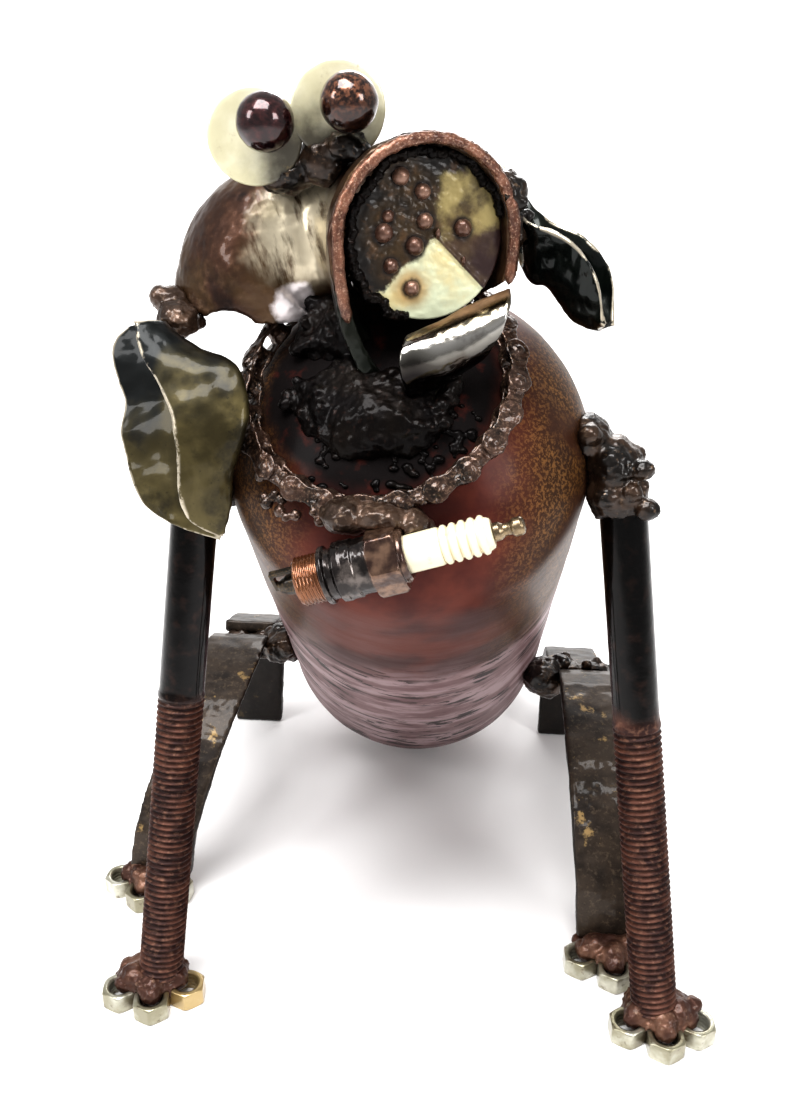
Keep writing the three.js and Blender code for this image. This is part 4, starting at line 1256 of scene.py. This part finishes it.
def spark_plug():
    groove = thread(1.25, 0.8)
    hexed = hexagon(20.8)

    def shell_relief(angle, r, y):
        if 8.4 < y < 16.8 and r > 7:
            return 8.6 - groove(angle, y)
        if 33.9 < y < 44.1 and r > 9:
            return min(hexed(angle), r)
        return r
    barrel = [(0, 8), (7.7, 8), (7.9, 8.3), (7.9, 17), (9.6, 17.1), (9.9, 17.5), (9.9, 18.6), (9.4, 18.9),
              (8.6, 19.2), (8.6, 21.2), (9.2, 21.6), (10.2, 22.4), (10.3, 24.5), (10.0, 25.2), (10.0, 28.4),
              (9.5, 29.0), (9.5, 33.9), (11.0, 34.0), (12.4, 35.1), (12.4, 42.9), (11.0, 44.0), (9.2, 44.1),
              (8.9, 45.2), (8.2, 46.0), (0, 46.0)]
    mesh = on_plug(finer(barrel, 0.32), shell_relief, 96)
    raise_relief(mesh, pitted(0.1, 1.6))
    piece("plug_body", mesh, "plug_steel", "plug_shell")
    ceramic = [(0, 45.8), (6.3, 45.8), (6.4, 46.2), (6.4, 56.6), (6.1, 57.4)]
    for i in range(5):
        base = 58.0 + 3.1 * i
        rib = ((5.6, -0.5), (6.2, 0), (6.6, 0.5), (6.6, 1.3), (6.2, 1.9), (5.6, 2.2))
        ceramic += [(radius, base + height) for radius, height in rib]
    ceramic += [(5.4, 73.2), (4.9, 74.2), (4.3, 74.5), (0, 74.5)]
    piece("plug_ceramic", on_plug(finer(ceramic, 0.4)), "ceramic", "plug_insulator")
    nut_end = [(0, 74.3), (2.6, 74.4), (3.1, 74.8), (3.1, 76.6), (2.7, 77.3), (2.2, 78.0), (2.0, 79.2),
               (2.2, 80.3), (2.8, 80.9), (3.1, 81.5), (3.1, 83.6), (2.7, 84.5), (1.6, 85.0), (0, 85.0)]
    piece("plug_tip", on_plug(finer(nut_end, 0.3), segments=40), "plug_terminal", "plug_terminal")
    piece("plug_nose", refined("plug_electrode", 0.3, 4), "plug_nose", "plug_electrode")


# ------------------------------------------------------------------ front legs

def front_legs():
    groove = thread(BOLT_PITCH, 1.5)
    step = BOLT_PITCH / 8
    for side, (foot, shoulder) in LEGS.items():
        end = THREAD_LENGTH[side]
        axis = (shoulder - foot).normalized()
        length = (shoulder - foot).length / MM

        def relief(angle, r, y):
            if y < 1.5 or y > end:
                return r
            fade = min(1.0, (end - y) / 4, (y - 1.0) / 2)
            wear = 0.18 * noise.noise(Vector((math.cos(angle) * 3, math.sin(angle) * 3, y * 0.6)))
            return 9.45 - groove(angle, y) * fade - abs(wear)
        profile = [(0, 0), (8.2, 0)]
        profile += [(9.5, 1.2 + step * k) for k in range(int((end - 1) / step))]
        profile += [(9.2, end + 1), (9.0, end + 2)]
        profile += [(9.0, end + 2 + (length - end - 3) * k / 60) for k in range(1, 61)]
        profile += [(9.0, length), (0, length)]
        mesh = turned_mesh(profile, 48, foot, axis, relief)
        raise_relief(mesh, pitted(0.06, 5.0))
        piece(f"bolt_{side}", mesh, "bolt", f"front_leg_{side}")


# ------------------------------------------------------------------ hind legs and feet

def hind_legs():
    for side in ("left", "right"):
        for bar in ("shin", "haunch"):
            mesh = refined(f"{bar}_bar_{side}", 1.2, 4)
            raise_relief(mesh, pitted(0.34, 10))
            piece(f"{bar}_{side}", mesh, "bar", f"{bar}_bar_{side}")


def toe_nuts():
    groove = thread(1.6, 0.5)
    for foot, turn in FOOT_TURN.items():
        for index in (1, 2, 3):
            node = f"toe_nut_{foot}_{index}"
            centre = middle(node)
            base = Vector((centre.x, centre.y, corner(node, 0).z))
            hexed = hexagon(NUT_FLATS, math.radians(turn))

            def relief(angle, r, y):
                if r < 5.5:
                    return r if y < 0.4 or y > 7.9 else 5.25 - groove(angle, y)
                return min(hexed(angle), r)
            profile = finer([(5.6, 0.0), (7.0, 0.0), (8.35, 0.9), (8.35, 7.4), (7.0, 8.3), (5.6, 8.3),
                             (5.2, 7.8), (5.2, 0.5), (5.6, 0.0)], 0.4)
            mesh = turned_mesh(profile, 72, base, (0, 0, 1), relief)
            piece(f"nut_{foot}_{index}", mesh, "nut", node)


# Each weld's finish, how many drops it is built of, and their smallest and largest radius.
WELDS = {
    "eye_weld": ("weld", 26, (2.4, 4.4)), "ear_weld_left": ("weld_brown", 20, (2.6, 5.0)),
    "ear_weld_right": ("weld", 14, (1.6, 3.2)), "plug_weld": ("weld_brown", 24, (2.8, 5.0)),
    "shoulder_weld_left": ("weld", 40, (4.0, 7.0)), "shoulder_weld_right": ("weld", 40, (4.0, 7.0)),
    "knee_weld_left": ("weld", 20, (2.2, 4.0)), "knee_weld_right": ("weld", 20, (2.2, 4.0)),
    "hip_weld_left": ("weld", 34, (2.4, 5.0)), "hip_weld_right": ("weld", 34, (2.4, 5.0)),
}


def welds():
    for seed, (node, (skin, count, size)) in enumerate(WELDS.items()):
        piece(f"{node}_metal", weld_mass(node, count, size, 0.8, 5, seed + 5, 0.16), skin, node)
    neck = weld_mass("neck", 200, (2.0, 3.6), 0.9, 3, 31, 0.12)
    piece("neck_metal", neck, "weld_black", "neck")
    for seed, foot in enumerate(FOOT_TURN):
        node = f"foot_weld_{foot}"
        extra = []
        for index in (1, 2, 3):
            nut = middle(f"toe_nut_{foot}_{index}")
            hub = middle(node)
            reach = Vector((nut.x - hub.x, nut.y - hub.y, 0)).normalized()
            extra += [ball(Vector((hub.x, hub.y, z * MM)) + reach * (d * MM), size * MM, 16)
                      for d, z, size in ((8, 10, 6.0), (12, 8.5, 4.6))]
        metal = weld_mass(node, 34, (2.4, 4.2), 0.75, 3, seed + 51, 0.35, extra)
        piece(f"{node}_metal", metal, "foot_weld", node)
    throat()


def throat():
    """Spatter and runs of weld on the tank, inside the collar."""
    rng = np.random.default_rng(77)
    drops = []
    while len(drops) < 110:
        angle = rng.uniform(-0.9, 1.3)
        share = rng.uniform(0.45, 0.88)
        spot, _ = collar_spot(angle)
        centre = TANK_HIGH + (TANK_AXIS * 50 - TANK_RIGHT * 9.5 - TANK_DOWN * 5) * MM
        place = centre.lerp(spot, share) - TANK_HIGH
        along = place.dot(TANK_AXIS)
        flat = place - TANK_AXIS * along
        lift = TANK_TOP * MM * math.sqrt(max(0.0, 1 - (flat.length / (TANK_WIDE * MM)) ** 2))
        radius = rng.uniform(0.8, 2.0) * MM
        drops.append(ball(TANK_HIGH + flat + TANK_AXIS * (lift - 0.25 * radius), radius, 14, (1.2, 1, 0.8)))
    mesh = remeshed(joined(*drops), 0.6, 2)
    piece("throat_spatter", mesh, "weld_black", slot="weld")


tank()
head()
nose_disc()
lower_jaw()
eyes()
ears()
collar()
spark_plug()
front_legs()
hind_legs()
toe_nuts()
welds()
